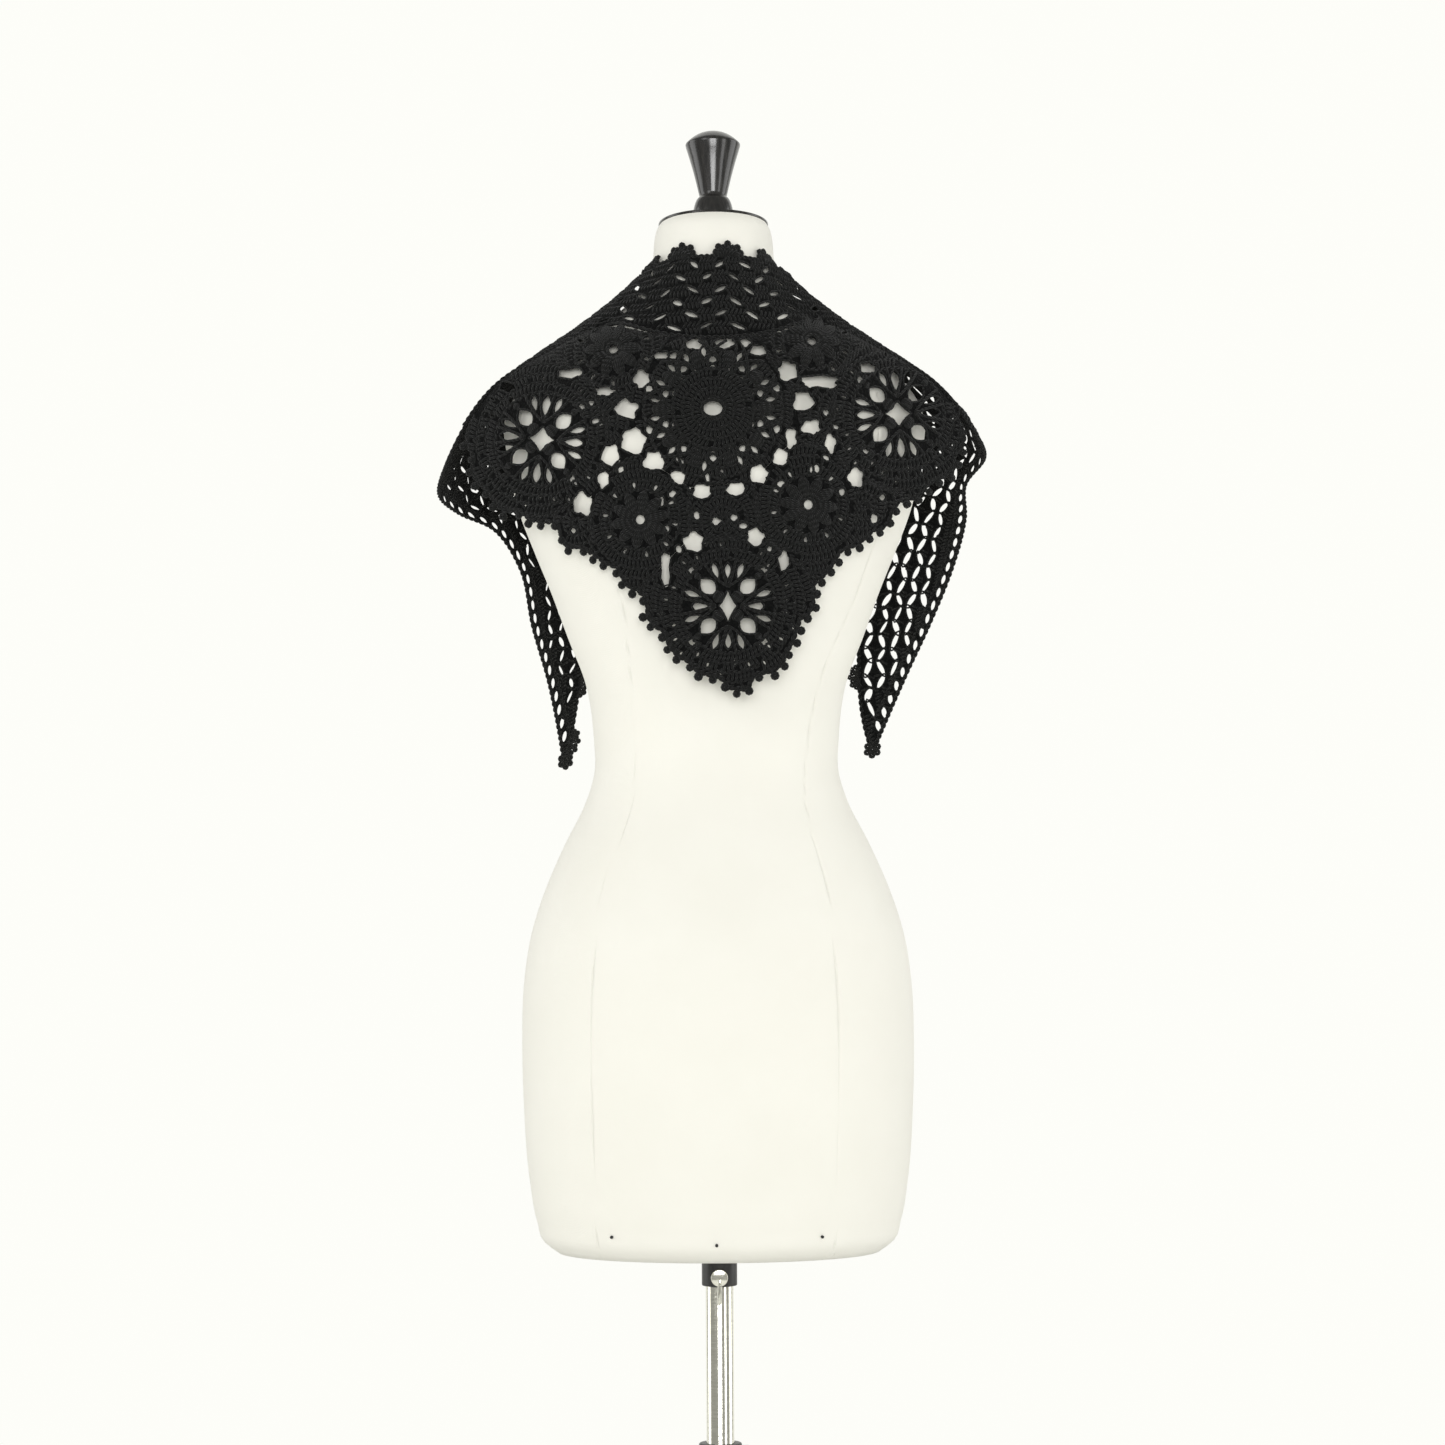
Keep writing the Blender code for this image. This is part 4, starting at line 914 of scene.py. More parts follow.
    def posts(self, starts: Array, ends: Array, keep: Array, seed: int, radius: float = 0.0013) -> None:
        """Lay short stitches from start to end.

        Args:
            starts: Rows of chart coordinates.
            ends: Rows of chart coordinates.
            keep: True for each stitch that is laid.
            seed: The seed of their small irregularities.
            radius: The yarn's radius.
        """
        rng = np.random.default_rng(seed)
        jitter = rng.normal(0.0, 0.00025, (len(starts), 2))
        starts, ends = (starts + jitter)[keep], (ends - jitter)[keep]
        share = np.linspace(0.0, 1.0, 4)[None, :, None]
        chart = starts[:, None] + (ends - starts)[:, None] * share
        height = np.array([-0.0001, 0.0003, 0.0005, 0.0001])[None]
        thick = radius * np.array([0.85, 1.0, 1.08, 0.8])[None]
        self.lay(chart, thick, height + rng.normal(0.0, 0.00012, (len(chart), 1)))

    def mesh(self, name: str, material: bpy.types.Material) -> bpy.types.Object:
        """Make the gathered strands one object.

        Args:
            name: The object's name.
            material: Its material.

        Returns:
            The object.
        """
        verts = np.concatenate(self.verts)
        quads = np.concatenate(self.quads)
        caps = np.concatenate(self.caps) if self.caps else np.zeros((0, self.sides), int)
        mesh = bpy.data.meshes.new(name)
        mesh.vertices.add(len(verts))
        mesh.vertices.foreach_set("co", verts.astype(np.float32).ravel())
        corners = np.concatenate([quads.ravel(), caps.ravel()])
        mesh.loops.add(len(corners))
        mesh.loops.foreach_set("vertex_index", corners.astype(np.int32))
        sizes = np.concatenate([np.full(len(quads), 4), np.full(len(caps), self.sides)])
        mesh.polygons.add(len(sizes))
        starts = np.concatenate([[0], np.cumsum(sizes)[:-1]])
        mesh.polygons.foreach_set("loop_start", starts.astype(np.int32))
        mesh.update(calc_edges=True)
        layer = mesh.uv_layers.new(name="yarn")
        places = np.zeros((len(corners), 2), np.float32)
        places[: quads.size] = np.concatenate(self.quad_places).reshape(-1, 2)
        layer.data.foreach_set("uv", places.ravel())
        mesh.materials.append(material)
        mesh.shade_smooth()
        mesh.validate()
        obj = bpy.data.objects.new(name, mesh)
        bpy.context.scene.collection.objects.link(obj)
        return obj


@dataclass
class LacePiece:
    """One cloth piece: its ground with the gaps cut through, and the yarn on it."""

    node: str
    surface: Surface
    form: FormShape
    hold: Hold = Hold.DRAPED
    grid: float = 0.0055
    low: float = 0.0007
    high: float = 0.0017
    outline: Outline = field(default_factory=list)
    others: list[Outline] = field(default_factory=list)
    gaps: list[Outline] = field(default_factory=list)

    def ground(self, material: bpy.types.Material) -> tuple[bpy.types.Object, float]:
        """Make the ground.

        Args:
            material: Its material.

        Returns:
            The object, and the cloth's flat area.
        """
        loops = [resampled(self.outline, max(24, round(length_of(self.outline) / 0.003)))]
        loops += [resampled(gap, max(8, round(length_of(gap) / 0.0022))) for gap in self.gaps]
        loops += [np.array(other) for other in self.others]
        loops = [self._turned(loop) for loop in loops]
        points = np.concatenate(loops)
        starts = np.concatenate([[0], np.cumsum([len(loop) for loop in loops])])
        faces = [list(range(a, b)) for a, b in zip(starts[:-1], starts[1:])]
        points = np.concatenate([points, self._between(loops)])
        flat = [Vector(point) for point in points.tolist()]
        verts, _, triangles, _, _, owners = delaunay_2d_cdt(flat, [], faces, 1, 1e-6)
        bm = bmesh.new()
        made = [bm.verts.new((vert[0], vert[1], 0.0)) for vert in verts]
        for triangle, owner in zip(triangles, owners):
            if list(owner) == [0]:
                bm.faces.new([made[index] for index in triangle])
        self._keep_largest(bm)
        lower = list(bm.verts)
        base = self.surface(np.array([(vert.co.x, vert.co.y) for vert in lower]))
        outward = self.form.outward(base)
        rows = {tuple(vert.co): row for row, vert in enumerate(lower)}
        copied = bmesh.ops.extrude_face_region(bm, geom=list(bm.faces))
        for item in copied["geom"]:
            if isinstance(item, bmesh.types.BMVert):
                row = rows[tuple(item.co)]
                item.co = Vector(base[row] + outward[row] * self.high)
        for row, vert in enumerate(lower):
            vert.co = Vector(base[row] + outward[row] * self.low)
        bmesh.ops.recalc_face_normals(bm, faces=list(bm.faces))
        area = sum(face.calc_area() for face in bm.faces) / 2.0
        mesh = bpy.data.meshes.new(self.node + "_lace")
        bm.to_mesh(mesh)
        bm.free()
        mesh.materials.append(material)
        obj = bpy.data.objects.new(self.node + "_lace", mesh)
        bpy.context.scene.collection.objects.link(obj)
        return obj, area

    def _turned(self, loop: Array) -> Array:
        """Return the loop running counter-clockwise."""
        following = np.roll(loop, -1, axis=0)
        area = (loop[:, 0] * following[:, 1] - following[:, 0] * loop[:, 1]).sum()
        return loop if area > 0.0 else loop[::-1]

    def _between(self, loops: list[Array]) -> Array:
        """Return even grid points that keep clear of every outline."""
        low, high = loops[0].min(axis=0), loops[0].max(axis=0)
        xs = np.arange(low[0], high[0], self.grid)
        ys = np.arange(low[1], high[1], self.grid)
        points = np.stack(np.meshgrid(xs, ys), axis=-1).reshape(-1, 2)
        edges = np.concatenate([resampled(loop, max(8, round(length_of(loop) / 0.002))) for loop in loops])
        edges = edges[(edges > low - 0.01).all(axis=1) & (edges < high + 0.01).all(axis=1)]
        nearest = np.full(len(points), np.inf)
        for block in np.array_split(edges, max(1, len(edges) // 400)):
            gaps = np.linalg.norm(points[:, None] - block[None], axis=2).min(axis=1)
            nearest = np.minimum(nearest, gaps)
        return points[nearest > self.grid * 0.4]

    def _keep_largest(self, bm: bmesh.types.BMesh) -> None:
        """Drop the crumbs that the gaps cut off."""
        left = set(bm.faces)
        islands = []
        while left:
            island = {left.pop()}
            edge_of_island = set(island)
            while edge_of_island:
                edges = {edge for face in edge_of_island for edge in face.edges}
                edge_of_island = {face for edge in edges for face in edge.link_faces} & left
                left -= edge_of_island
                island |= edge_of_island
            islands.append(island)
        islands.sort(key=len)
        crumbs = [face for island in islands[:-1] for face in island]
        bmesh.ops.delete(bm, geom=crumbs, context="FACES")
        loose = [vert for vert in bm.verts if not vert.link_faces]
        bmesh.ops.delete(bm, geom=loose, context="VERTS")
        bm.verts.ensure_lookup_table()

    def on_cloth(self, *points: Array) -> Array:
        """Tell which stitches stay on the cloth.

        Args:
            *points: Their sample points, row by row the same stitch.

        Returns:
            True for each stitch whose samples all lie in the outline and in no gap.
        """
        keep = np.ones(len(points[0]), bool)
        for sample in points:
            keep &= inside(sample, self.outline)
            for gap in self.gaps + self.others:
                low, high = np.min(gap, axis=0), np.max(gap, axis=0)
                near = ((sample > low) & (sample < high)).all(axis=1)
                if near.any():
                    keep[near] &= ~inside(sample[near], gap)
        return keep

    def edge_gaps(self, yarn: Yarn, radius: float) -> None:
        """Lay a strand round each gap, as far as it lies on this piece.

        Args:
            yarn: The strands laid so far.
            radius: The strand's radius.
        """
        whole = []
        for gap in self.gaps:
            points = resampled(gap, 18)
            centre = points.mean(axis=0)
            reach = np.linalg.norm(points - centre, axis=1).mean()
            points = centre + (points - centre) * (1.0 + 0.0006 / reach)
            covered = inside(points, self.outline)
            for other in self.others:
                covered &= ~inside(points, other)
            if covered.all():
                whole.append(points)
                continue
            for run in runs_of(covered, 3):
                yarn.lay(resampled(points[run], 7, False)[None], radius, 0.0003)
        if whole:
            yarn.lay(np.array(whole), radius, 0.0003, closed=True)

    def finish(self, yarn: Yarn, ground: bpy.types.Material, cotton: bpy.types.Material) -> None:
        """Make the objects, attach them to the form and hide the node's part.

        Args:
            yarn: The strands laid on the piece.
            ground: The ground's material.
            cotton: The yarn's material.
        """
        lace, area = self.ground(ground)
        strands = yarn.mesh(self.node + "_yarn", cotton)
        for obj in (lace, strands):
            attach(obj, "form")
        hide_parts(self.node)


@dataclass
class Motif:
    """One crochet motif of the back panel."""

    node: str
    kind: Kind
    x: float
    z: float
    reach: float
    turn: float = 0.0
    eye: tuple[float, float] = (0.0108, 0.0110)
    side_petal: tuple[float, float, float] = (0.0275, 0.0165, 0.0078)
    upright_petal: tuple[float, float, float] = (0.0283, 0.0175, 0.0076)

    def at(self, radius: Array | float, angle: Array | float) -> Array:
        """Return the chart place at a radius and an angle from the motif's own axis."""
        turn = math.radians(self.turn) + np.asarray(angle, float)
        radius = np.asarray(radius, float)
        return np.stack([self.x + radius * np.cos(turn), self.z + radius * np.sin(turn)], axis=-1)

    def ring(self, radius: float, count: int) -> Array:
        """Return points evenly spaced round the middle."""
        return self.at(np.full(count, radius), math.tau * np.arange(count) / count)

    def petal(self, radius: float, angle: float, length: float, width: float, blunt: float = 0.5) -> Outline:
        """Outline a gap that points at the motif's middle.

        Args:
            radius: How far out its middle lies.
            angle: Its direction.
            length: Its length.
            width: Its greatest width.
            blunt: Where its greatest width lies, from its inner to its outer end.

        Returns:
            The outline.
        """
        share = np.linspace(0.0, 1.0, 9)
        bent = np.where(share < blunt, share / blunt / 2.0, 0.5 + (share - blunt) / (1.0 - blunt) / 2.0)
        half = np.sin(bent * math.pi) ** 0.85 * width / 2.0
        radii = radius - length / 2.0 + share * length
        side = self.at(radii, angle + half / radii)
        other = self.at(radii, angle - half / radii)
        return [tuple(point) for point in np.concatenate([side, other[::-1][1:-1]])]

    def crescent(self, radius: float, angle: float, spread: float, thick: float) -> Outline:
        """Outline a curved gap round the middle."""
        turn = np.linspace(-spread, spread, 7)
        bow = 1.0 - (turn / spread) ** 2
        outer = self.at(radius + thick * (bow - 0.3), angle + turn)
        inner = self.at(radius + thick * (bow * 0.1 - 0.3), angle + turn)
        return [tuple(point) for point in np.concatenate([outer, inner[::-1][1:-1]])]

    def hollow_diamond(self, half_width: float, half_height: float) -> Outline:
        """Outline the four-pointed eye with its hollow sides."""
        angles = math.tau * np.arange(28) / 28.0
        power = 0.86
        flat = (np.abs(np.cos(angles)) / half_width) ** power
        tall = (np.abs(np.sin(angles)) / half_height) ** power
        return [tuple(point) for point in self.at((flat + tall) ** (-1.0 / power), angles)]

    def round_eye(self, half_width: float, half_height: float) -> Outline:
        """Outline a round eye."""
        turn = math.tau * np.arange(16) / 16.0
        return [(self.x + half_width * math.cos(a), self.z + half_height * math.sin(a)) for a in turn]

    def gaps(self) -> list[Outline]:
        """Return the motif's own gaps."""
        if self.kind is Kind.FLOWER:
            return self._flower_gaps()
        if self.kind is Kind.MEDALLION:
            return self._medallion_gaps()
        if self.kind is Kind.DAISY:
            found = [self.round_eye(0.0040, 0.0042)]
            for index in range(10):
                found.append(self.petal(0.0290, math.tau * (index + 0.5) / 10.0, 0.0066, 0.0034, 0.65))
            return found
        return []

    def _flower_gaps(self) -> list[Outline]:
        """Return the flower's eye, teardrops, petals, crescents and pinholes."""
        found = [self.hollow_diamond(*self.eye)]
        for quarter in range(4):
            axis = quarter * math.pi / 2.0
            diagonal = axis + math.pi / 4.0
            radius, length, width = self.upright_petal if quarter % 2 else self.side_petal
            found.append(self.petal(radius, axis, length, width, 0.62))
            found.append(self.petal(0.0232, diagonal, 0.0172, 0.0132, 0.55))
            found.append(self.crescent(0.0412, diagonal, 0.15, 0.0056))
            for side in (-1.0, 1.0):
                found.append(self.petal(0.0312, axis + side * 0.335, 0.0138, 0.0056, 0.6))
        for index in range(28):
            radius = 0.0475 + 0.0042 * (index % 3)
            found.append(self.petal(radius, math.tau * (index + 0.5) / 28.0, 0.0046, 0.0026))
        return found

    def _medallion_gaps(self) -> list[Outline]:
        """Return the medallion's eye, its ring of slits and its crossings."""
        found = [self.round_eye(0.0080, 0.0064)]
        for index in range(16):
            found.append(self.crescent(0.0345, math.tau * index / 16.0, 0.095, 0.0036))
        for index in range(10):
            angle = math.tau * (index + 0.5) / 10.0
            found.append(self.petal(0.0415, angle, 0.0062, 0.0068, 0.35))
            found.append(self.petal(0.0556, angle, 0.0064, 0.0076, 0.65))
            for side in (-1.0, 1.0):
                found.append(self.petal(0.0485, angle + side * 0.155, 0.0090, 0.0048))
        return found


@dataclass
class BackPanel:
    """The panel of joined motifs that hangs down the back."""

    form: FormShape
    shape: PanelShape
    seam_gap: float = 0.0002
    top: float = 1.450
    picot_pitch: float = 0.0112
    picot_reach: float = 0.0030
    scallop_pitch: float = 0.0335
    scallop_rise: float = 0.0050
    gap_reach: float = 0.62
    round_step: float = 0.0080
    stitch_pitch: float = 0.0035
    motifs: list[Motif] = field(
        default_factory=lambda: [
            Motif("medallion", Kind.MEDALLION, -0.0010, 1.3327, 0.0670),
            Motif("flower_left", Kind.FLOWER, -0.1447, 1.3106, 0.0655, -8.0),
            Motif("flower_right", Kind.FLOWER, 0.1543, 1.3306, 0.0655, 4.0),
            Motif(
                "flower_tip",
                Kind.FLOWER,
                0.0105,
                1.1684,
                0.0670,
                eye=(0.0072, 0.0134),
                side_petal=(0.0232, 0.0128, 0.0092),
                upright_petal=(0.0292, 0.0128, 0.0056),
            ),
            Motif("daisy_upper_left", Kind.DAISY, -0.0840, 1.3846, 0.0430),
            Motif("daisy_upper_right", Kind.DAISY, 0.0820, 1.3908, 0.0430),
            Motif("daisy_lower_left", Kind.DAISY, -0.0619, 1.2411, 0.0470, 10.0),
            Motif("daisy_lower_right", Kind.DAISY, 0.0778, 1.2529, 0.0480, -5.0),
            Motif("rosette_left", Kind.ROSETTE, -0.0990, 1.3250, 0.0350),
            Motif("rosette_right", Kind.ROSETTE, 0.1059, 1.3315, 0.0350),
            Motif("rosette_centre", Kind.ROSETTE, 0.0075, 1.2403, 0.0360),
            Motif("shell_left", Kind.ROSETTE, -0.1150, 1.2400, 0.0260),
            Motif("shell_right", Kind.ROSETTE, 0.1240, 1.2530, 0.0260),
        ]
    )

    def free_edge(self, pitch: float, outwards: float) -> Array:
        """Return even points along the scallops of the panel's free edge.

        Args:
            pitch: The distance between them.
            outwards: How far outside the edge they lie.

        Returns:
            Rows of chart coordinates.
        """
        length = length_of(PANEL_EDGE, False)
        points = resampled(PANEL_EDGE, round(length / pitch) + 1, False)
        along = np.gradient(points, axis=0)
        along[2:-2] = (along[:-4] + along[1:-3] + along[2:-2] + along[3:-1] + along[4:]) / 5.0
        places = np.linspace(0.0, length, len(points))
        bow = self.scallop_rise * (np.abs(np.sin(math.pi * places / self.scallop_pitch)) - 0.6)
        return points + normalised(np.stack([along[:, 1], -along[:, 0]], axis=1)) * (bow + outwards)[:, None]

    def share(self, motif: Motif) -> Outline:
        """Outline a motif's share of the panel, cut straight along its joins."""
        edge = [tuple(point) for point in self.free_edge(0.005, 0.0)]
        outline = edge + [(edge[-1][0], self.top), (edge[0][0], self.top)]
        for other in self.motifs:
            if other is motif:
                continue
            apart = math.hypot(other.x - motif.x, other.z - motif.z)
            normal = ((other.x - motif.x) / apart, (other.z - motif.z) / apart)
            seam = (apart**2 + motif.reach**2 - other.reach**2) / (2.0 * apart) - self.seam_gap / 2.0
            outline = clipped(outline, (motif.x + normal[0] * seam, motif.z + normal[1] * seam), normal)
        return outline

    def owners(self, points: Array) -> Array:
        """Return the number of the motif that each point belongs to."""
        powers = [(points[:, 0] - m.x) ** 2 + (points[:, 1] - m.z) ** 2 - m.reach**2 for m in self.motifs]
        return np.argmin(powers, axis=0)

    def _star(self, x: float, z: float, width: float, height: float, seed: int) -> Outline:
        """Outline a gap that the round knots about it bite into.

        Args:
            x: The place of its middle across.
            z: The height of its middle.
            width: Its width.
            height: Its height.
            seed: The seed of its irregular sides.

        Returns:
            The outline.
        """
        rng = np.random.default_rng(seed)
        knots = 5 if width > 0.012 else 4
        turn = math.tau * np.arange(30) / 30.0
        scale = np.full(30, self.gap_reach)
        for index in range(knots):
            middle = math.tau * (index + rng.uniform(-0.22, 0.22)) / knots + seed
            away = (turn - middle + math.pi) % math.tau - math.pi
            scale *= 1.0 - rng.uniform(0.18, 0.42) * np.exp(-((away / rng.uniform(0.28, 0.44)) ** 2))
        return [(x + width * s * math.cos(a), z + height * s * math.sin(a)) for s, a in zip(scale, turn)]

    def shared_gaps(self) -> list[Outline]:
        """Return the star gaps and small gaps that lie on the joins."""
        found = []
        for seed, row in enumerate(STAR_GAPS):
            found.append(self._star(*row, seed))
        for x, z, width, height, slant in SMALL_GAPS:
            lean = math.radians(slant)
            turn = math.tau * np.arange(12) / 12.0
            across, upward = np.cos(turn) * (width + 0.001) / 2.0, np.sin(turn) * (height + 0.001) / 2.0
            xs = x + across * math.cos(lean) - upward * math.sin(lean)
            zs = z + across * math.sin(lean) + upward * math.cos(lean)
            found.append(list(zip(xs.tolist(), zs.tolist())))
        return found

    def dress(self, ground: bpy.types.Material, cotton: bpy.types.Material) -> None:
        """Make every motif.

        Args:
            ground: The ground's material.
            cotton: The yarn's material.
        """
        shared = self.shared_gaps()
        for number, motif in enumerate(self.motifs):
            piece = LacePiece(motif.node, self.shape.surface, self.form)
            piece.outline = self.share(motif)
            piece.others = [self.shape.above()]
            low, high = np.min(piece.outline, axis=0), np.max(piece.outline, axis=0)
            near = [gap for gap in shared if (np.max(gap, axis=0) > low).all() and (np.min(gap, axis=0) < high).all()]
            own = [gap for gap in motif.gaps() if inside(np.array(gap), piece.outline).all()]
            own = [gap for gap in own if not any(self._meet(gap, other) for other in near)]
            piece.gaps = near + own
            yarn = Yarn(self.shape.surface, self.form)
            self._lay(motif, piece, yarn, number)
            piece.finish(yarn, ground, cotton)

    def _meet(self, gap: Outline, other: Outline) -> bool:
        """Tell whether two gaps overlap."""
        return bool(inside(np.array(gap), other).any() or inside(np.array(other), gap).any())

    def _lay(self, motif: Motif, piece: LacePiece, yarn: Yarn, number: int) -> None:
        """Lay all the yarn of one motif."""
        piece.edge_gaps(yarn, 0.00095)
        first = {Kind.FLOWER: 0.0395, Kind.MEDALLION: 0.0095, Kind.DAISY: 0.0250, Kind.ROSETTE: 0.0030}[motif.kind]
        self._fill(motif, piece, yarn, first, number)
        if motif.kind is Kind.FLOWER:
            self._flower_heart(motif, yarn)
        if motif.kind is Kind.DAISY:
            self._daisy_petals(motif, piece, yarn)
        if motif.kind is Kind.MEDALLION:
            self._medallion_crossings(motif, piece, yarn)
        self._border(piece, yarn, number)

    def _fill(self, motif: Motif, piece: LacePiece, yarn: Yarn, first: float, number: int) -> None:
        """Lay rounds of radial stitches from the first radius out to the rim."""
        corners = np.array(piece.outline) - (motif.x, motif.z)
        furthest = float(np.linalg.norm(corners, axis=1).max())
        starts, ends, middles = [], [], []
        for turn, radius in enumerate(np.arange(first, furthest, self.round_step)):
            outer = radius + self.round_step
            count = max(7, round(math.tau * (radius + self.round_step * 0.6) / self.stitch_pitch))
            angles = math.tau * (np.arange(count) + 0.5 * (turn % 2)) / count
            lean = 0.0008 / outer * (1.0 if turn % 2 else -1.0)
            starts.append(motif.at(np.full(count, radius), angles - lean))
            middles.append(motif.at(np.full(count, radius + self.round_step * 0.5), angles))
            ends.append(motif.at(np.full(count, outer), angles + lean))
            path = motif.ring(radius, 80)
            covered = piece.on_cloth(path)
            if covered.all():
                yarn.braid(path, True)
                continue
            for run in runs_of(covered, 4):
                yarn.braid(path[run], False)
        a, m, b = np.concatenate(starts), np.concatenate(middles), np.concatenate(ends)
        yarn.posts(a, b, piece.on_cloth(a, m, b), number + 11)

    def _flower_heart(self, motif: Motif, yarn: Yarn) -> None:
        """Lay the flower's four bobbles, its beads and the strands that fan from its nodes."""
        share = np.linspace(0.0, 1.0, 8)[:, None]
        for quarter in range(4):
            axis = quarter * math.pi / 2.0
            diagonal = axis + math.pi / 4.0
            yarn.puff(motif.at(0.0066, diagonal), motif.at(0.0158, diagonal), 0.0104, 6, 0.0024)
            yarn.puff(motif.at(0.0326, diagonal), motif.at(0.0384, diagonal), 0.0060, 4, 0.0016)
            node = motif.at(motif.eye[quarter % 2] + 0.0030, axis)
            fans = []
            for side in (-0.50, -0.17, 0.17, 0.50):
                end = motif.at(0.0400, axis + side)
                bow = motif.at(0.0250, axis + side * 0.98)
                fans.append((1 - share) ** 2 * node + 2 * share * (1 - share) * bow + share**2 * end)
            yarn.lay(np.array(fans), 0.0013, 0.0005)

    def _daisy_petals(self, motif: Motif, piece: LacePiece, yarn: Yarn) -> None:
        """Lay the daisy's puffed petals and the ring round its eye."""
        for index in range(10):
            angle = math.tau * index / 10.0
            if piece.on_cloth(motif.at([0.0150], [angle]))[0]:
                yarn.puff(motif.at(0.0060, angle), motif.at(0.0245, angle), 0.0098, 5, 0.0024)
        yarn.lay(motif.ring(0.0054, 24)[None], 0.0013, 0.0010, closed=True)

    def _medallion_crossings(self, motif: Motif, piece: LacePiece, yarn: Yarn) -> None:
        """Lay the medallion's puffs, its crossed strands and the thick round about its eye."""
        strands = []
        for index in range(10):
            angle = math.tau * (index + 0.5) / 10.0
            for side in (-1.0, 1.0):
                share = np.linspace(0.0, 1.0, 6)
                strands.append(motif.at(0.0385 + share * 0.0200, angle + side * 0.20 * (1.0 - 2.0 * share)))
            puff = math.tau * index / 10.0
            if piece.on_cloth(motif.at([0.0440], [puff]))[0]:
                yarn.puff(motif.at(0.0385, puff), motif.at(0.0510, puff), 0.0102, 5, 0.0022)
        yarn.lay(np.array(strands), 0.0014, 0.0009)
        turn = math.tau * np.arange(28) / 28.0
        eye = np.stack([motif.x + 0.0092 * np.cos(turn), motif.z + 0.0076 * np.sin(turn)], axis=1)
        yarn.lay(eye[None], 0.0014, 0.0009, closed=True)

    def _border(self, piece: LacePiece, yarn: Yarn, number: int) -> None:
        """Lay a chain inside the joins, and a chain and picots along the free edge."""
        path = resampled(piece.outline, max(40, round(length_of(piece.outline) / 0.004)))
        centre = path.mean(axis=0)
        path = centre + (path - centre) * 0.975
        for run in runs_of(piece.on_cloth(path), 5):
            yarn.braid(path[run], False)
        above = self.shape.above()
        chain = self.free_edge(0.0030, -0.0006)
        mine = (self.owners(chain) == number) & ~inside(chain, above)
        for run in runs_of(mine, 3):
            yarn.braid(chain[run], False)
        picots = self.free_edge(self.picot_pitch, self.picot_reach)
        mine = (self.owners(picots) == number) & ~inside(picots, above)
        mine[:2] = mine[-3:] = False
        rng = np.random.default_rng(number + 61)
        sizes = rng.uniform(0.0014, 0.0020, len(picots))
        picots = picots + rng.normal(0.0, 0.0006, picots.shape)
        if mine.any():
            yarn.knots(picots[mine], sizes[mine], 0.0021)


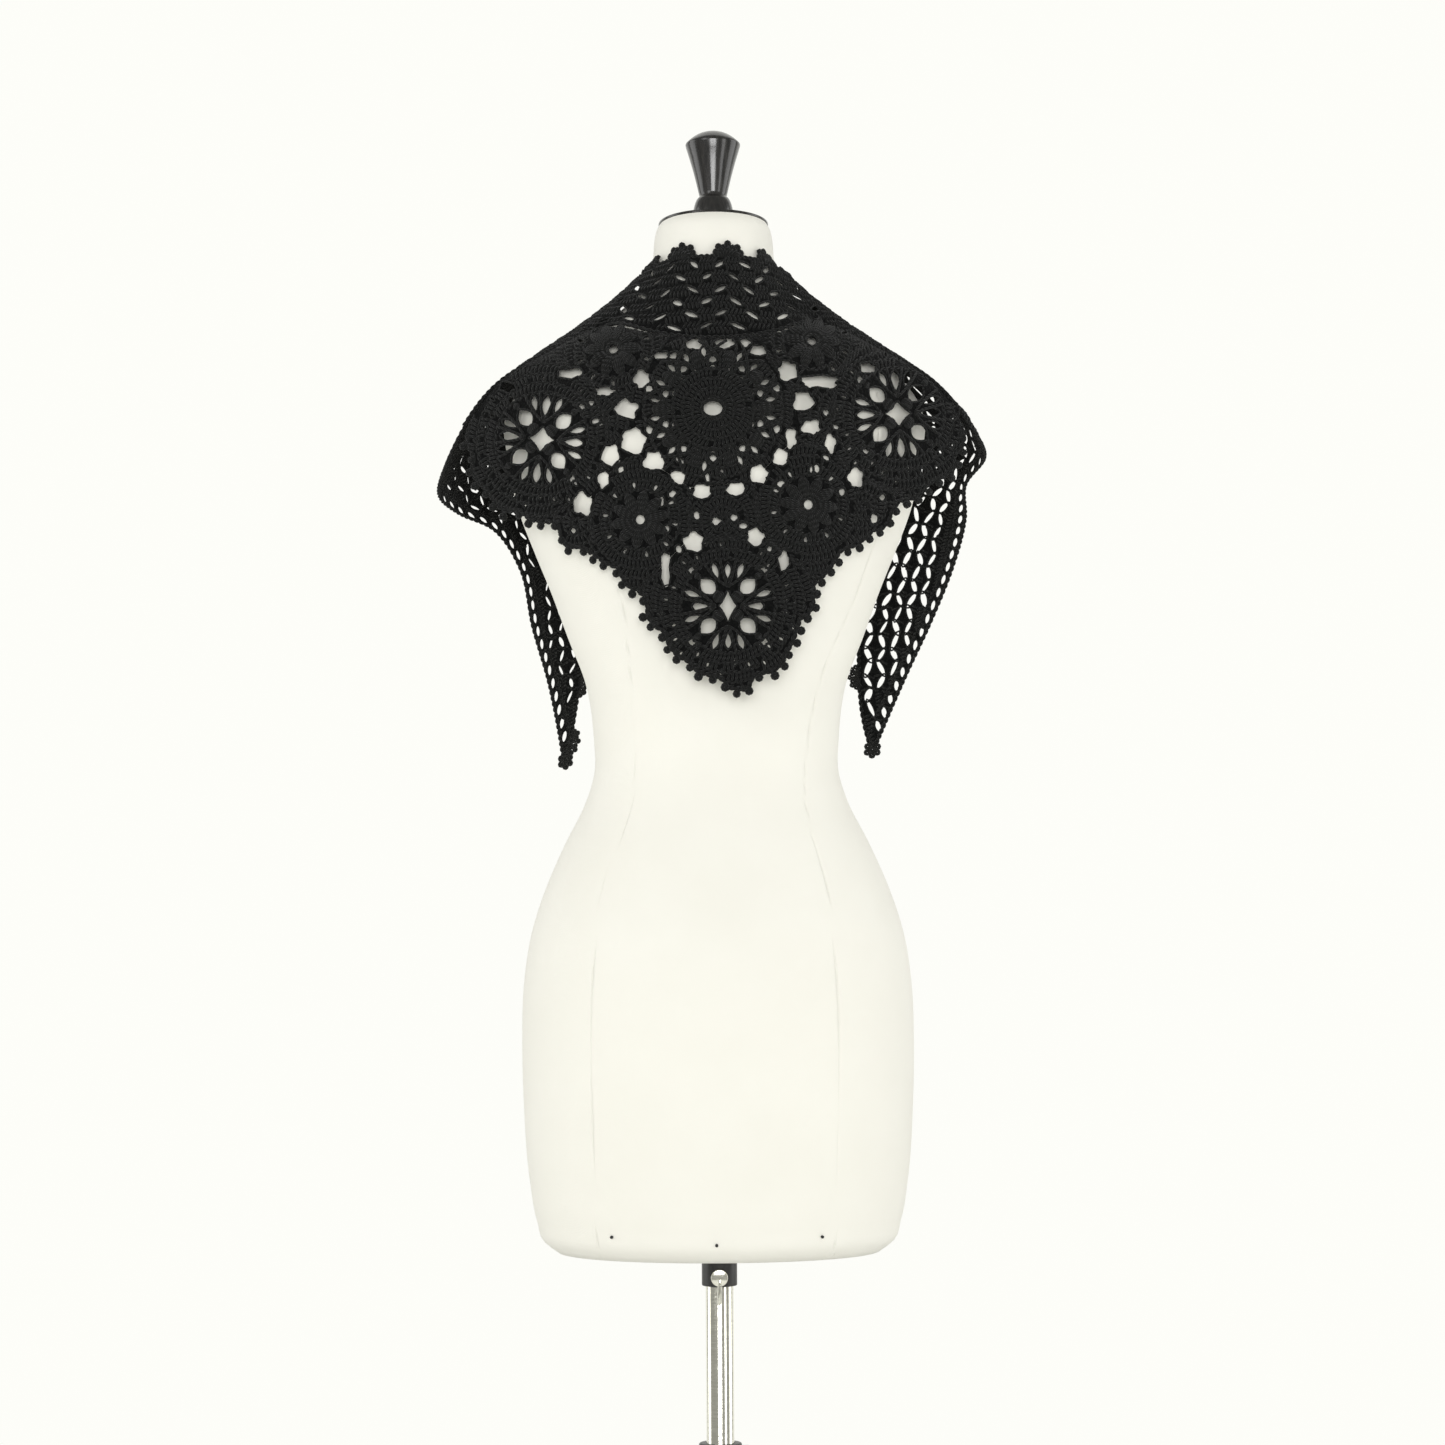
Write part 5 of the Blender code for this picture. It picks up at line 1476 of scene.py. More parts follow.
@dataclass
class LaceBand:
    """The band round the neck and its two hanging ends."""

    form: FormShape
    shape: BandShape
    diamond_along: float = 0.0250
    diamond_across: float = 0.0230
    ladder_pitch: float = 0.0122
    ladder_inset: float = 0.0062
    ladder_size: tuple[float, float] = (0.0100, 0.0056)
    picot_pitch: float = 0.050
    first_fan: float = 0.0155
    seam_gap: float = 0.0003
    band_slit: tuple[float, float] = (0.0125, 0.0042)
    left_slit: tuple[float, float] = (0.0112, 0.0038)
    right_slit: tuple[float, float] = (0.0142, 0.0052)
    fan: tuple[tuple[float, float], ...] = (
        (-0.0128, 0.0026),
        (-0.0100, 0.0078),
        (-0.0050, 0.0070),
        (0.0, 0.0108),
        (0.0050, 0.0070),
        (0.0100, 0.0078),
        (0.0128, 0.0026),
    )

    def _slit(self, along: float, across: float, turn: float, size: tuple[float, float]) -> Outline:
        """Return one slit with pointed ends."""
        angles = math.tau * np.arange(12) / 12.0
        reach = np.sign(np.cos(angles)) * np.abs(np.cos(angles)) ** 1.2 * size[0] / 2.0
        side = np.sign(np.sin(angles)) * np.abs(np.sin(angles)) ** 0.9 * size[1] / 2.0
        xs = along + reach * math.cos(turn) - side * math.sin(turn)
        ys = across + reach * math.sin(turn) + side * math.cos(turn)
        return list(zip(xs.tolist(), ys.tolist()))

    def slits(self, start: float, stop: float, free_edge: bool, size: tuple[float, float], seed: int) -> list[Outline]:
        """Return the slanted slits between the solid diamonds.

        Args:
            start: Where the stretch starts.
            stop: Where it stops.
            free_edge: Whether a ladder runs along the outer edge.
            size: A slit's length and width.
            seed: The seed of their small irregularities.

        Returns:
            The slits' outlines.
        """
        rng = np.random.default_rng(seed)
        found = []
        half = self.diamond_along / 2.0
        slant = 0.42 if free_edge else 0.50
        for column in range(math.ceil(start / half), math.floor(stop / half)):
            along = (column + 0.5) * half
            outer = self.shape.width(along) - (2.0 * self.ladder_inset if free_edge else 0.0)
            for line in range(9):
                across = (line + 0.75) * self.diamond_across / 2.0
                if not 0.0075 <= across <= outer - 0.004 or not start + 0.004 < along < stop - 0.004:
                    continue
                if not free_edge and (column + line) % 2:
                    continue
                crossing = column + line if free_edge else column // 2 + line
                turn = slant * (1.0 if crossing % 2 else -1.0) + rng.normal(0.0, 0.07)
                stretch = rng.normal(1.0, 0.10)
                sized = (size[0] * stretch, size[1] * rng.normal(1.0, 0.12))
                found.append(self._slit(along, across + rng.normal(0.0, 0.0004), turn, sized))
        return found

    def ladder(self, start: float, stop: float) -> list[Outline]:
        """Return the row of long gaps along a free outer edge."""
        found = []
        for index in range(int((stop - start) / self.ladder_pitch)):
            along = start + (index + 0.5) * self.ladder_pitch
            width = self.shape.width(along)
            if width > 0.014:
                found.append(self._slit(along, width - self.ladder_inset, 0.0, self.ladder_size))
        return found

    def dress(self, ground: bpy.types.Material, cotton: bpy.types.Material) -> None:
        """Make the neck band and both ends.

        Args:
            ground: The ground's material.
            cotton: The yarn's material.
        """
        left, right = self.shape.place(-self.shape.corner), self.shape.place(self.shape.corner)
        tip_left, tip_right = self.shape.place(-len(LEFT_SECTIONS)), self.shape.place(len(RIGHT_SECTIONS))
        stretches = (
            ("neck_band", left, right, Hold.DRAPED, self.band_slit, 31),
            ("end_left", tip_left, left - self.seam_gap, Hold.HUNG, self.left_slit, 32),
            ("end_right", right + self.seam_gap, tip_right, Hold.HUNG, self.right_slit, 33),
        )
        for node, start, stop, hold, size, seed in stretches:
            free_edge = node != "neck_band"
            piece = LacePiece(node, self.shape.surface, self.form, hold)
            places = np.linspace(stop, start, max(12, round((stop - start) / 0.006)))
            outer = [(float(place), self.shape.width(float(place)) - 0.0004) for place in places]
            piece.outline = [(start, 0.0006), (stop, 0.0006)] + outer
            gaps = self.slits(start, stop, free_edge, size, seed)
            if free_edge:
                gaps += self.ladder(start, stop)
            outline = piece.outline
            piece.gaps = [gap for gap in gaps if inside(np.array(gap), outline).all()]
            yarn = Yarn(self.shape.surface, self.form)
            piece.edge_gaps(yarn, 0.00090)
            self._fill(piece, yarn, start, stop, seed)
            self._edges(yarn, start, stop, free_edge)
            if free_edge:
                self._tip(yarn, start if start == tip_left else stop)
            self._fans(yarn, start, stop, 0.72 if free_edge else 1.0)
            piece.finish(yarn, ground, cotton)

    def _fill(self, piece: LacePiece, yarn: Yarn, start: float, stop: float, seed: int) -> None:
        """Lay rows of stitches over the whole stretch."""
        pitch, step = 0.0034, 0.0060
        places = np.arange(start + 0.002, stop - 0.001, pitch)
        starts, ends = [], []
        for row in range(17):
            low = 0.0022 + row * step
            lean = 0.0011 * (1.0 if row % 2 else -1.0)
            shift = pitch / 2.0 * (row % 2)
            starts.append(np.stack([places + shift - lean, np.full_like(places, low)], axis=1))
            ends.append(np.stack([places + shift + lean, np.full_like(places, low + step)], axis=1))
        a, b = np.concatenate(starts), np.concatenate(ends)
        yarn.posts(a, b, piece.on_cloth(a, (a + b) / 2.0, b), seed)

    def _edges(self, yarn: Yarn, start: float, stop: float, free_edge: bool) -> None:
        """Lay the chains along both edges."""
        places = np.arange(start, stop, 0.004)
        yarn.braid(np.stack([places, np.full_like(places, 0.0010)], axis=1), False)
        widths = np.array([self.shape.width(float(place)) for place in places])
        shift, raised = (-0.0012, 0.0) if free_edge else (0.0008, 0.0008)
        yarn.braid(np.stack([places, widths + shift], axis=1), False, raised=raised)
        if free_edge:
            yarn.braid(np.stack([places, np.maximum(widths - 2.0 * self.ladder_inset + 0.0010, 0.003)], axis=1), False)

    def _fans(self, yarn: Yarn, start: float, stop: float, scale: float) -> None:
        """Lay the picot fans on the neck edge."""
        knots, starts, ends = [], [], []
        first = math.ceil((start + 0.012 - self.first_fan) / self.picot_pitch)
        last = math.floor((stop - 0.012 - self.first_fan) / self.picot_pitch)
        for index in range(first, last + 1):
            along = self.first_fan + index * self.picot_pitch
            for offset, height in self.fan:
                knots.append((along + offset * scale, -height * scale))
                starts.append((along + offset * 0.45 * scale, 0.0015))
                ends.append((along + offset * 0.85 * scale, -height * 0.75 * scale))
        if knots:
            yarn.knots(np.array(knots), 0.0019 * scale, 0.0017 * scale)
            yarn.posts(np.array(starts), np.array(ends), np.ones(len(starts), bool), 5, 0.0021 * scale)

    def _tip(self, yarn: Yarn, place: float) -> None:
        """Lay the round cluster of picots that closes an end."""
        beyond = math.copysign(0.0035, place)
        middle = np.array([place + beyond, self.shape.width(place) / 2.0])
        turn = math.tau * np.arange(6) / 6.0
        ring = np.stack([np.cos(turn), np.sin(turn)], axis=1) * 0.0052
        yarn.knots(np.concatenate([middle + ring, middle[None]]), 0.0017, 0.0016)


def deselect_all() -> None:
    """Leave nothing selected, so that an operator acts on the new piece alone."""
    if bpy.context.mode != "OBJECT":
        bpy.ops.object.mode_set(mode="OBJECT")
    bpy.ops.object.select_all(action="DESELECT")


def turned(name: str, profile: list[tuple[float, float]], steps: int, material: bpy.types.Material) -> bpy.types.Object:
    """Spin a profile about the upright axis.

    Args:
        name: The piece's name.
        profile: Radius and height, from the top of its outer side down.
        steps: How many steps in the full turn.
        material: Its material.

    Returns:
        The closed, smooth piece.
    """
    deselect_all()
    mesh = bpy.data.meshes.new(name)
    points = [(radius, 0.0, height) for radius, height in profile]
    edges = [(index, index + 1) for index in range(len(points) - 1)]
    if profile[0][0] > 0.0:
        edges.append((len(points) - 1, 0))
    mesh.from_pydata(points, edges, [])
    obj = bpy.data.objects.new(name, mesh)
    bpy.context.scene.collection.objects.link(obj)
    bpy.context.view_layer.objects.active = obj
    obj.select_set(True)
    bpy.ops.object.mode_set(mode="EDIT")
    bpy.ops.mesh.select_all(action="SELECT")
    bpy.ops.mesh.spin(steps=steps, angle=math.tau, center=(0.0, 0.0, 0.0), axis=(0.0, 0.0, 1.0))
    bpy.ops.mesh.select_all(action="SELECT")
    bpy.ops.mesh.remove_doubles(threshold=0.00001)
    bpy.ops.mesh.normals_make_consistent(inside=False)
    bpy.ops.object.mode_set(mode="OBJECT")
    bpy.ops.object.shade_smooth_by_angle(angle=math.radians(40.0))
    mesh.materials.append(material)
    return obj


def rod(
    name: str, radius: float, length: float, centre: Vector, direction: Vector, material: bpy.types.Material
) -> bpy.types.Object:
    """Add a round bar with softened ends.

    Args:
        name: The piece's name.
        radius: Its radius.
        length: Its length.
        centre: Its middle.
        direction: The way that it points.
        material: Its material.

    Returns:
        The piece.
    """
    deselect_all()
    turn = Vector((0.0, 0.0, 1.0)).rotation_difference(direction).to_euler()
    bpy.ops.mesh.primitive_cylinder_add(vertices=40, radius=radius, depth=length, location=centre, rotation=turn)
    obj = bpy.context.active_object
    obj.name = name
    bpy.ops.object.transform_apply(location=True, rotation=True, scale=True)
    bpy.ops.object.mode_set(mode="EDIT")
    bpy.ops.mesh.select_all(action="DESELECT")
    bpy.ops.mesh.edges_select_sharp(sharpness=math.radians(60.0))
    bpy.ops.mesh.bevel(offset=min(radius, length) * 0.22, segments=3)
    bpy.ops.object.mode_set(mode="OBJECT")
    bpy.ops.object.shade_smooth_by_angle(angle=math.radians(40.0))
    obj.data.materials.append(material)
    return obj


def joined(name: str, pieces: list[bpy.types.Object]) -> bpy.types.Object:
    """Join pieces into the first one.

    Args:
        name: The joined piece's name.
        pieces: The pieces.

    Returns:
        The joined piece.
    """
    deselect_all()
    for piece in pieces:
        piece.select_set(True)
    bpy.context.view_layer.objects.active = pieces[0]
    bpy.ops.object.join()
    pieces[0].name = name
    return pieces[0]


def stand_for(obj: bpy.types.Object, node: str, body: str) -> None:
    """Let a piece stand for a node of the frame.

    Args:
        obj: The piece.
        node: The node that it replaces.
        body: The body that it rides on.
    """
    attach(obj, body)
    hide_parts(node)
    LOG.info("%s stands for %s on %s", obj.name, node, body)


@dataclass
class DressForm:
    """The padded form with its cover, cap, knob and pins."""

    shape: FormShape
    sides: int = 160
    rings: int = 190
    cap_radius: float = 0.047
    cap_thick: float = 0.003
    knob_radius: float = 0.0236
    knob_length: float = 0.0810
    knob_dome: float = 0.0110
    knob_neck: float = 0.0117
    knob_foot: float = 0.0178
    knob_foot_height: float = 0.0225
    knob_bow: float = 0.05
    fit_gap: float = 0.0003
    pin_height: float = 0.6340
    pin_places: tuple[float, ...] = (-0.1010, -0.0020, 0.0960)

    def dress(self, cover: bpy.types.Material, lacquer: bpy.types.Material, steel: bpy.types.Material) -> None:
        """Make the form's pieces.

        Args:
            cover: The cover's material.
            lacquer: The cap's and knob's material.
            steel: The pins' material.
        """
        stand_for(self._cover(cover), "torso", "form")
        stand_for(self._cap(lacquer), "neck_cap", "form")
        stand_for(self._knob(lacquer), "knob", "form")
        for name, x in zip(("pin_left", "pin_middle", "pin_right"), self.pin_places):
            stand_for(self._pin(name, x, steel), name, "form")

    def _cover(self, material: bpy.types.Material) -> bpy.types.Object:
        """Loft the cover through its rings, with each point's distance from the nearest seam."""
        heights = np.linspace(self.shape.table[0, 0], self.shape.neck_top, self.rings)
        sizes = smooth_value(self.shape.table[:, 0], self.shape.table[:, 1:], heights)
        angles = math.tau * np.arange(self.sides) / self.sides
        cosine, sine = np.cos(angles), np.sin(angles)
        power = 2.0 / self.shape.power
        x = sizes[:, :1] * (np.sign(cosine) * np.abs(cosine) ** power)
        depth = np.where(sine > 0.0, sizes[:, 2:3], sizes[:, 1:2])
        y = depth * np.sign(sine) * np.abs(sine) ** power
        z = heights[:, None] - self.shape.rise(heights)[:, None] * y
        points = np.stack([x, y, z], axis=-1).reshape(-1, 3)
        index = np.arange(self.rings * self.sides).reshape(self.rings, self.sides)
        beside = (np.arange(self.sides) + 1) % self.sides
        quads = np.stack([index[:-1], index[:-1][:, beside], index[1:][:, beside], index[1:]], axis=-1)
        faces = quads.reshape(-1, 4).tolist() + [index[0][::-1].tolist(), index[-1].tolist()]
        mesh = bpy.data.meshes.new("form_cover")
        mesh.from_pydata(points.tolist(), [], faces)
        seam = mesh.attributes.new("seam", "FLOAT", "POINT")
        seam.data.foreach_set("value", self._seam_distance(points).astype(np.float32))
        mesh.materials.append(material)
        mesh.shade_smooth()
        mesh.set_sharp_from_angle(angle=math.radians(50.0))
        obj = bpy.data.objects.new("form_cover", mesh)
        bpy.context.scene.collection.objects.link(obj)
        return obj

    def _seam_distance(self, points: Array) -> Array:
        """Return each point's distance from the nearest seam."""
        table = np.array(SEAMS)
        seams = smooth_value(table[:, 0], table[:, 1:], points[:, 2])
        away = np.minimum(np.abs(points[:, 0] - seams[:, 0]), np.abs(points[:, 0] - seams[:, 1]))
        sizes = smooth_value(self.shape.table[:, 0], self.shape.table[:, 1:], points[:, 2])
        side = np.where(np.abs(points[:, 0]) > sizes[:, 0] * 0.8, np.abs(points[:, 1] - 0.004), 1.0)
        return np.minimum(away, side)

    def _on_neck(self, obj: bpy.types.Object, lift: float) -> bpy.types.Object:
        """Stand a piece on the neck's slanted top."""
        normal = Vector((0.0, math.sin(self.shape.cap_tilt), math.cos(self.shape.cap_tilt)))
        place = Matrix.Translation(Vector((0.0, 0.0, self.shape.neck_top)) + normal * lift)
        obj.data.transform(place @ Matrix.Rotation(-self.shape.cap_tilt, 4, "X"))
        return obj

    def _cap(self, material: bpy.types.Material) -> bpy.types.Object:
        """Turn the thin plate on the neck."""
        edge = self.cap_thick * 0.3
        profile = [(0.0, self.cap_thick), (self.cap_radius - 2.0 * edge, self.cap_thick)]
        for step in range(1, 4):
            turn = step * math.pi / 6.0
            radius = self.cap_radius - edge + edge * math.sin(turn)
            profile.append((radius, self.cap_thick - edge + edge * math.cos(turn)))
        profile += [(self.cap_radius, edge), (self.cap_radius - edge, 0.0), (0.0, 0.0)]
        return self._on_neck(turned("cap_plate", profile, 96, material), self.fit_gap)

    def _knob(self, material: bpy.types.Material) -> bpy.types.Object:
        """Turn the knob: a rounded foot, a widening cone and a low domed top."""
        profile = [(0.0, self.knob_length)]
        for share in np.linspace(0.12, 0.985, 10):
            profile.append((self.knob_radius * share, self.knob_length - self.knob_dome * share**2.4))
        for share in (0.25, 0.6, 1.0):
            radius = self.knob_radius * (1.0 - 0.015 * (1.0 - math.cos(share * math.pi / 2.0)))
            profile.append((radius, self.knob_length - self.knob_dome * (1.0 + 0.22 * share)))
        rim = profile[-1]
        foot_height = self.knob_foot_height
        for share in np.linspace(0.12, 0.94, 8):
            radius = rim[0] + (self.knob_neck - rim[0]) * (share + self.knob_bow * math.sin(share * math.pi))
            profile.append((radius, rim[1] + (foot_height + 0.001 - rim[1]) * share))
        profile.append((self.knob_neck, foot_height + 0.0010))
        for share in np.linspace(0.06, 0.97, 9):
            turn = share * math.pi / 2.0
            radius = self.knob_neck + (self.knob_foot - self.knob_neck) * math.sin(turn)
            profile.append((radius, foot_height * math.cos(turn)))
        profile += [(self.knob_foot - 0.0008, 0.0), (0.0, 0.0)]
        return self._on_neck(turned("neck_knob", profile, 80, material), self.fit_gap * 2.0 + self.cap_thick)

    def _pin(self, name: str, x: float, material: bpy.types.Material) -> bpy.types.Object:
        """Set one pin head on the cover."""
        place = np.array([[x, -0.1200, self.pin_height]])
        for _ in range(8):
            gradient = self.shape.slope(place)
            steepness = np.linalg.norm(gradient, axis=1)
            place += gradient / steepness[:, None] * (0.0010 - self.shape.excess(place) / steepness)[:, None]
        outward = Vector(self.shape.outward(place)[0])
        return rod(name + "_head", 0.0013, 0.0018, Vector(place[0]), outward, material)


@dataclass
class Stand:
    """The socket, screws, pole, clamp and base under the form."""

    base_radius: float = 0.175
    base_top: float = 0.017
    base_hub_top: float = 0.050
    base_hub: float = 0.0230
    tube_radius: float = 0.0150
    tube_bore: float = 0.0123
    tube_top: float = 0.4347
    hub_radius: float = 0.0185
    hub_bottom: float = 0.4200
    hub_top: float = 0.4530
    pole_radius: float = 0.0120
    pole_bottom: float = 0.1700
    socket_radius: float = 0.0152
    socket_bottom: float = 0.5880
    socket_top: float = 0.6177
    bore_top: float = 0.6080
    collar_height: float = 0.5965
    clamp_height: float = 0.4430
    fit_gap: float = 0.0003
    steps: int = 72

    def dress(self, black: bpy.types.Material, chrome: bpy.types.Material) -> None:
        """Make the stand's pieces.

        Args:
            black: The material of the painted pieces.
            chrome: The material of the plated pieces.
        """
        stand_for(self._socket(black), "socket", "form")
        stand_for(self._collar_screw(chrome), "collar_screw", "collar_screw")
        stand_for(self._pole(chrome), "pole", "column")
        stand_for(self._tube(chrome), "lower_tube", "stand")
        stand_for(self._clamp(black), "clamp_hub", "stand")
        stand_for(self._clamp_screw(chrome), "clamp_screw", "clamp_screw")
        stand_for(self._base(black), "base", "stand")

    def _ring(self, outer: float, inner: float, low: float, high: float, edge: float = 0.0010) -> list[tuple[float, float]]:
        """Return the profile of a ring with rounded outer edges."""
        profile = [(inner, high)]
        for step in range(4):
            turn = step * math.pi / 6.0
            profile.append((outer - edge + edge * math.sin(turn), high - edge + edge * math.cos(turn)))
        for step in range(4):
            turn = step * math.pi / 6.0
            profile.append((outer - edge + edge * math.cos(turn), low + edge - edge * math.sin(turn)))
        return profile + [(inner, low)]

    def _socket(self, material: bpy.types.Material) -> bpy.types.Object:
        """Make the socket with its blind bore, rolled rims and screw boss."""
        bore = self.pole_radius + self.fit_gap
        ring = self._ring(self.socket_radius, bore, self.socket_bottom, self.socket_top)
        profile = [(0.0, self.socket_top)] + ring[1:] + [(bore, self.bore_top), (0.0, self.bore_top)]
        body = turned("form_socket", profile, self.steps, material)
        behind = Vector((0.0, -1.0, 0.0))
        middle = Vector((0.0, -self.socket_radius - 0.0016, self.collar_height))
        boss = rod("socket_boss", 0.0060, 0.0044, middle, behind, material)
        return joined("form_socket", [body, boss])

    def _collar_screw(self, material: bpy.types.Material) -> bpy.types.Object:
        """Make the thumb screw: a stem, a round head and a short hanging lever."""
        behind = Vector((0.0, -1.0, 0.0))
        end = Vector((0.0, -self.socket_radius - 0.0055, self.collar_height))
        start = Vector((0.0, -self.pole_radius - self.fit_gap, self.collar_height))
        stem = rod("screw_stem", 0.0030, (end - start).length, (start + end) / 2.0, behind, material)
        head = rod("screw_head", 0.0073, 0.0030, end + behind * 0.0005, behind, material)
        hang = end + behind * 0.0008 - Vector((0.0, 0.0, 0.0120))
        lever = rod("screw_lever", 0.0019, 0.0220, hang, Vector((0.06, 0.0, 1.0)), material)
        return joined("thumb_screw", [stem, head, lever])

    def _pole(self, material: bpy.types.Material) -> bpy.types.Object:
        """Make the pole."""
        top = self.bore_top - self.fit_gap
        profile = [
            (0.0, top),
            (self.pole_radius - 0.0010, top),
            (self.pole_radius - 0.0003, top - 0.0003),
            (self.pole_radius, top - 0.0010),
            (self.pole_radius, self.pole_bottom + 0.0005),
            (self.pole_radius - 0.0005, self.pole_bottom),
            (0.0, self.pole_bottom),
        ]
        return turned("plated_pole", profile, self.steps, material)

    def _tube(self, material: bpy.types.Material) -> bpy.types.Object:
        """Make the lower tube."""
        profile = self._ring(self.tube_radius, self.tube_bore, 0.0063, self.tube_top, 0.0004)
        return turned("plated_tube", profile, self.steps, material)

    def _clamp(self, material: bpy.types.Material) -> bpy.types.Object:
        """Make the clamp hub with its screw boss."""
        fit = self.tube_radius + self.fit_gap
        ring = self._ring(self.hub_radius, self.tube_bore, self.hub_bottom, self.hub_top, 0.0016)
        inner = [(fit, self.hub_bottom), (fit, self.tube_top + self.fit_gap), (self.tube_bore, self.tube_top + self.fit_gap)]
        body = turned("pole_clamp", ring[:-1] + inner, self.steps, material)
        right = Vector((1.0, 0.0, 0.0))
        middle = Vector((self.hub_radius + 0.0030, 0.0, self.clamp_height))
        boss = rod("clamp_boss", 0.0075, 0.0080, middle, right, material)
        return joined("pole_clamp", [body, boss])

    def _clamp_screw(self, material: bpy.types.Material) -> bpy.types.Object:
        """Make the wing screw: a stem, a grip and two rounded ears."""
        right = Vector((1.0, 0.0, 0.0))
        rim = Vector((self.hub_radius, 0.0, self.clamp_height))
        start = Vector((self.pole_radius + self.fit_gap, 0.0, self.clamp_height))
        end = rim + right * 0.0180
        stem = rod("wing_stem", 0.0030, (end - start).length, (start + end) / 2.0, right, material)
        grip = rod("wing_grip", 0.0065, 0.0110, rim + right * 0.0200, right, material)
        deselect_all()
        bpy.ops.mesh.primitive_cube_add(size=1.0, location=rim + right * 0.0250, scale=(0.0140, 0.0300, 0.0050))
        wing = bpy.context.active_object
        bpy.ops.object.transform_apply(location=True, rotation=True, scale=True)
        bpy.ops.object.mode_set(mode="EDIT")
        bpy.ops.mesh.select_all(action="SELECT")
        bpy.ops.mesh.bevel(offset=0.0022, segments=4)
        bpy.ops.object.mode_set(mode="OBJECT")
        bpy.ops.object.shade_smooth_by_angle(angle=math.radians(40.0))
        wing.data.materials.append(material)
        return joined("wing_screw", [stem, grip, wing])

    def _base(self, material: bpy.types.Material) -> bpy.types.Object:
        """Make the round base plate, which rises softly to its hub."""
        fit = self.tube_radius + self.fit_gap
        profile = [
            (fit, self.base_hub_top),
            (self.base_hub - 0.0020, self.base_hub_top),
            (self.base_hub - 0.0006, self.base_hub_top - 0.0006),
            (self.base_hub, self.base_hub_top - 0.0020),
            (self.base_hub + 0.0008, self.base_top + 0.0130),
            (self.base_hub + 0.0030, self.base_top + 0.0060),
            (self.base_hub + 0.0070, self.base_top + 0.0022),
            (self.base_hub + 0.0140, self.base_top + 0.0003),
            (self.base_radius * 0.69, self.base_top - 0.0030),
            (self.base_radius - 0.0110, 0.0124),
            (self.base_radius - 0.0040, 0.0108),
            (self.base_radius - 0.0012, 0.0092),
            (self.base_radius, 0.0068),
            (self.base_radius, 0.0015),
            (self.base_radius - 0.0015, 0.0),
            (0.0, 0.0),
            (0.0, 0.0060),
            (fit, 0.0060),
        ]
        return turned("round_base", profile, 128, material)


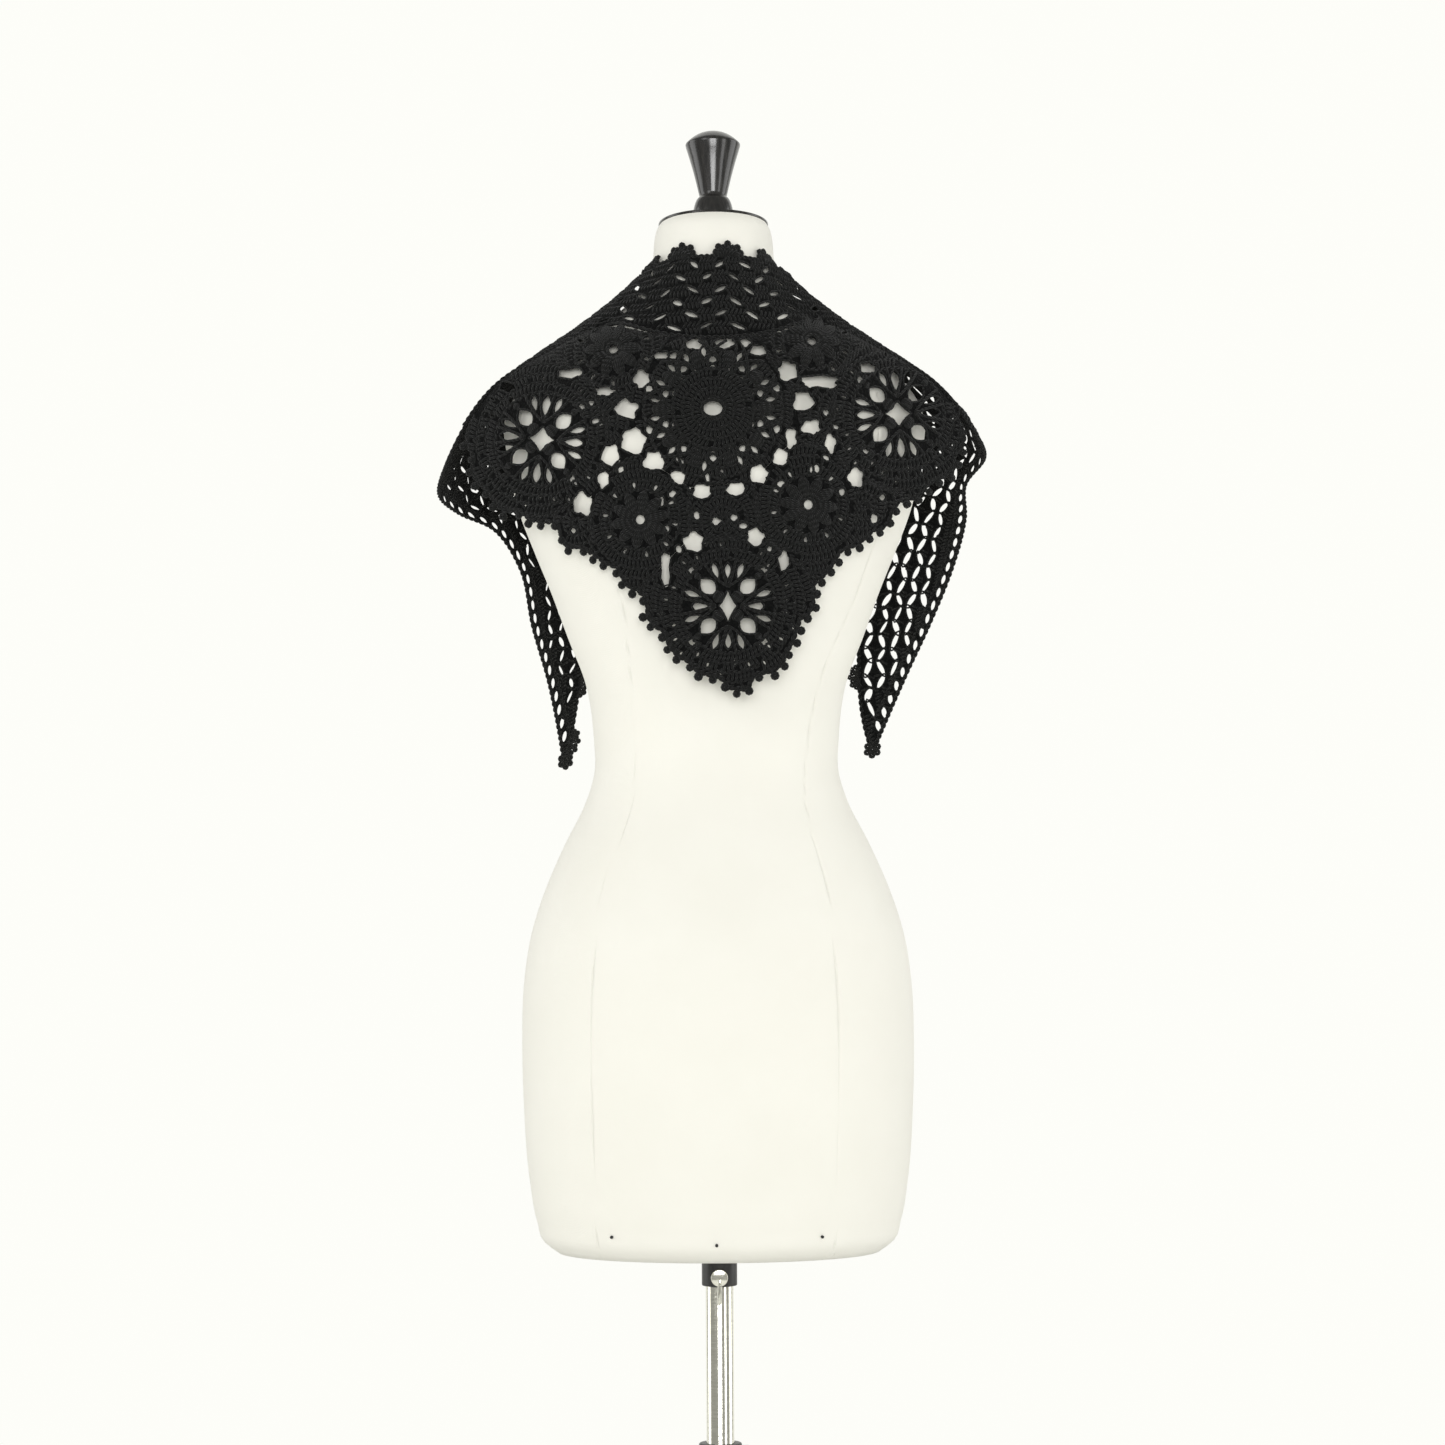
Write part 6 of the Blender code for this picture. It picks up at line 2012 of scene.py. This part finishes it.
@dataclass
class Studio:
    """The camera, lights, backdrop and floor."""

    camera_place: tuple[float, float, float] = (0.0054, -4.2, 1.071)
    lens: float = 121.9
    roll: float = math.radians(0.34)
    wall: tuple[float, float, float] = (0.985, 0.985, 0.942)
    room_strength: float = 0.36

    def set_up(self) -> None:
        """Make the camera, the lights, the world and the floor."""
        scene = bpy.context.scene
        scene.view_settings.view_transform = "Standard"
        data = bpy.data.cameras.new("camera")
        data.lens = self.lens
        data.sensor_width = 36.0
        camera = bpy.data.objects.new("camera", data)
        camera.location = self.camera_place
        camera.rotation_euler = (math.pi / 2.0, self.roll, 0.0)
        scene.collection.objects.link(camera)
        scene.camera = camera
        self._world(scene)
        self._light("key", (-1.9, -2.6, 2.5), (1.2, 1.8), 16.0)
        self._light("fill", (2.4, -2.2, 1.5), (0.8, 2.0), 12.0)
        self._light("front", (0.0, -4.5, 1.75), (2.0, 1.4), 90.0)
        self._light("left_wing", (-2.2, 0.3, 1.3), (1.2, 2.4), 15.0)
        self._light("right_wing", (2.2, 0.3, 1.3), (1.2, 2.4), 15.0)
        self._floor()
        self._backdrop()

    def _world(self, scene: bpy.types.Scene) -> None:
        """Light everything from an even pale room."""
        world = bpy.data.worlds.new("pale_room")
        world.use_nodes = True
        background = world.node_tree.nodes["Background"]
        background.inputs[0].default_value = (*self.wall, 1.0)
        background.inputs[1].default_value = self.room_strength
        scene.world = world

    def _light(self, name: str, place: tuple[float, float, float], size: tuple[float, float], power: float) -> None:
        """Hang one soft box that faces the form."""
        data = bpy.data.lights.new(name, "AREA")
        data.shape = "RECTANGLE"
        data.size, data.size_y = size
        data.energy = power
        light = bpy.data.objects.new(name, data)
        light.location = place
        aim = Vector((0.0, 0.0, 1.15)) - Vector(place)
        light.rotation_euler = aim.to_track_quat("-Z", "Y").to_euler()
        bpy.context.scene.collection.objects.link(light)

    def _floor(self) -> None:
        """Lay the plain pale floor."""
        deselect_all()
        bpy.ops.mesh.primitive_plane_add(size=5.8, location=(0.0, 0.0, -0.0005))
        floor = bpy.context.active_object
        floor.name = "floor"
        nodes = Nodes("pale_floor", (0.80, 0.80, 0.77), 0.7)
        nodes.bump(nodes.noise(40.0, 2.0), 0.0004)
        floor.data.materials.append(nodes.material)
        bpy.ops.object.transform_apply(location=True, rotation=True, scale=True)

    def _backdrop(self) -> None:
        """Stand the lit white wall far behind the form, so that a camera can pass in front of it."""
        deselect_all()
        bpy.ops.mesh.primitive_plane_add(size=24.0, location=(0.0, 9.0, 9.97), rotation=(math.pi / 2.0, 0.0, 0.0))
        wall = bpy.context.active_object
        wall.name = "backdrop"
        nodes = Nodes("lit_wall", (0.0, 0.0, 0.0), 1.0)
        nodes.shader.inputs["Specular IOR Level"].default_value = 0.0
        nodes.shader.inputs["Emission Color"].default_value = (*self.wall, 1.0)
        nodes.shader.inputs["Emission Strength"].default_value = 1.0
        wall.data.materials.append(nodes.material)
        bpy.ops.object.transform_apply(location=True, rotation=True, scale=True)


def main() -> None:
    """Build every piece in order."""
    logging.basicConfig(level=logging.INFO, format="%(name)s: %(message)s")
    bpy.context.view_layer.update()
    form = FormShape()
    band = BandShape(form)
    panel = PanelShape(form, band)
    cotton, ground = CrochetCotton().make(), LaceGround().make()
    chrome, black = Chrome().make(), SatinBlack().make()
    DressForm(form).dress(WovenCover().make(), BlackLacquer().make(), PinSteel().make())
    Stand().dress(black, chrome)
    BackPanel(form, panel).dress(ground, cotton)
    LaceBand(form, band).dress(ground, cotton)
    Studio().set_up()


if __name__ == "__main__":
    main()
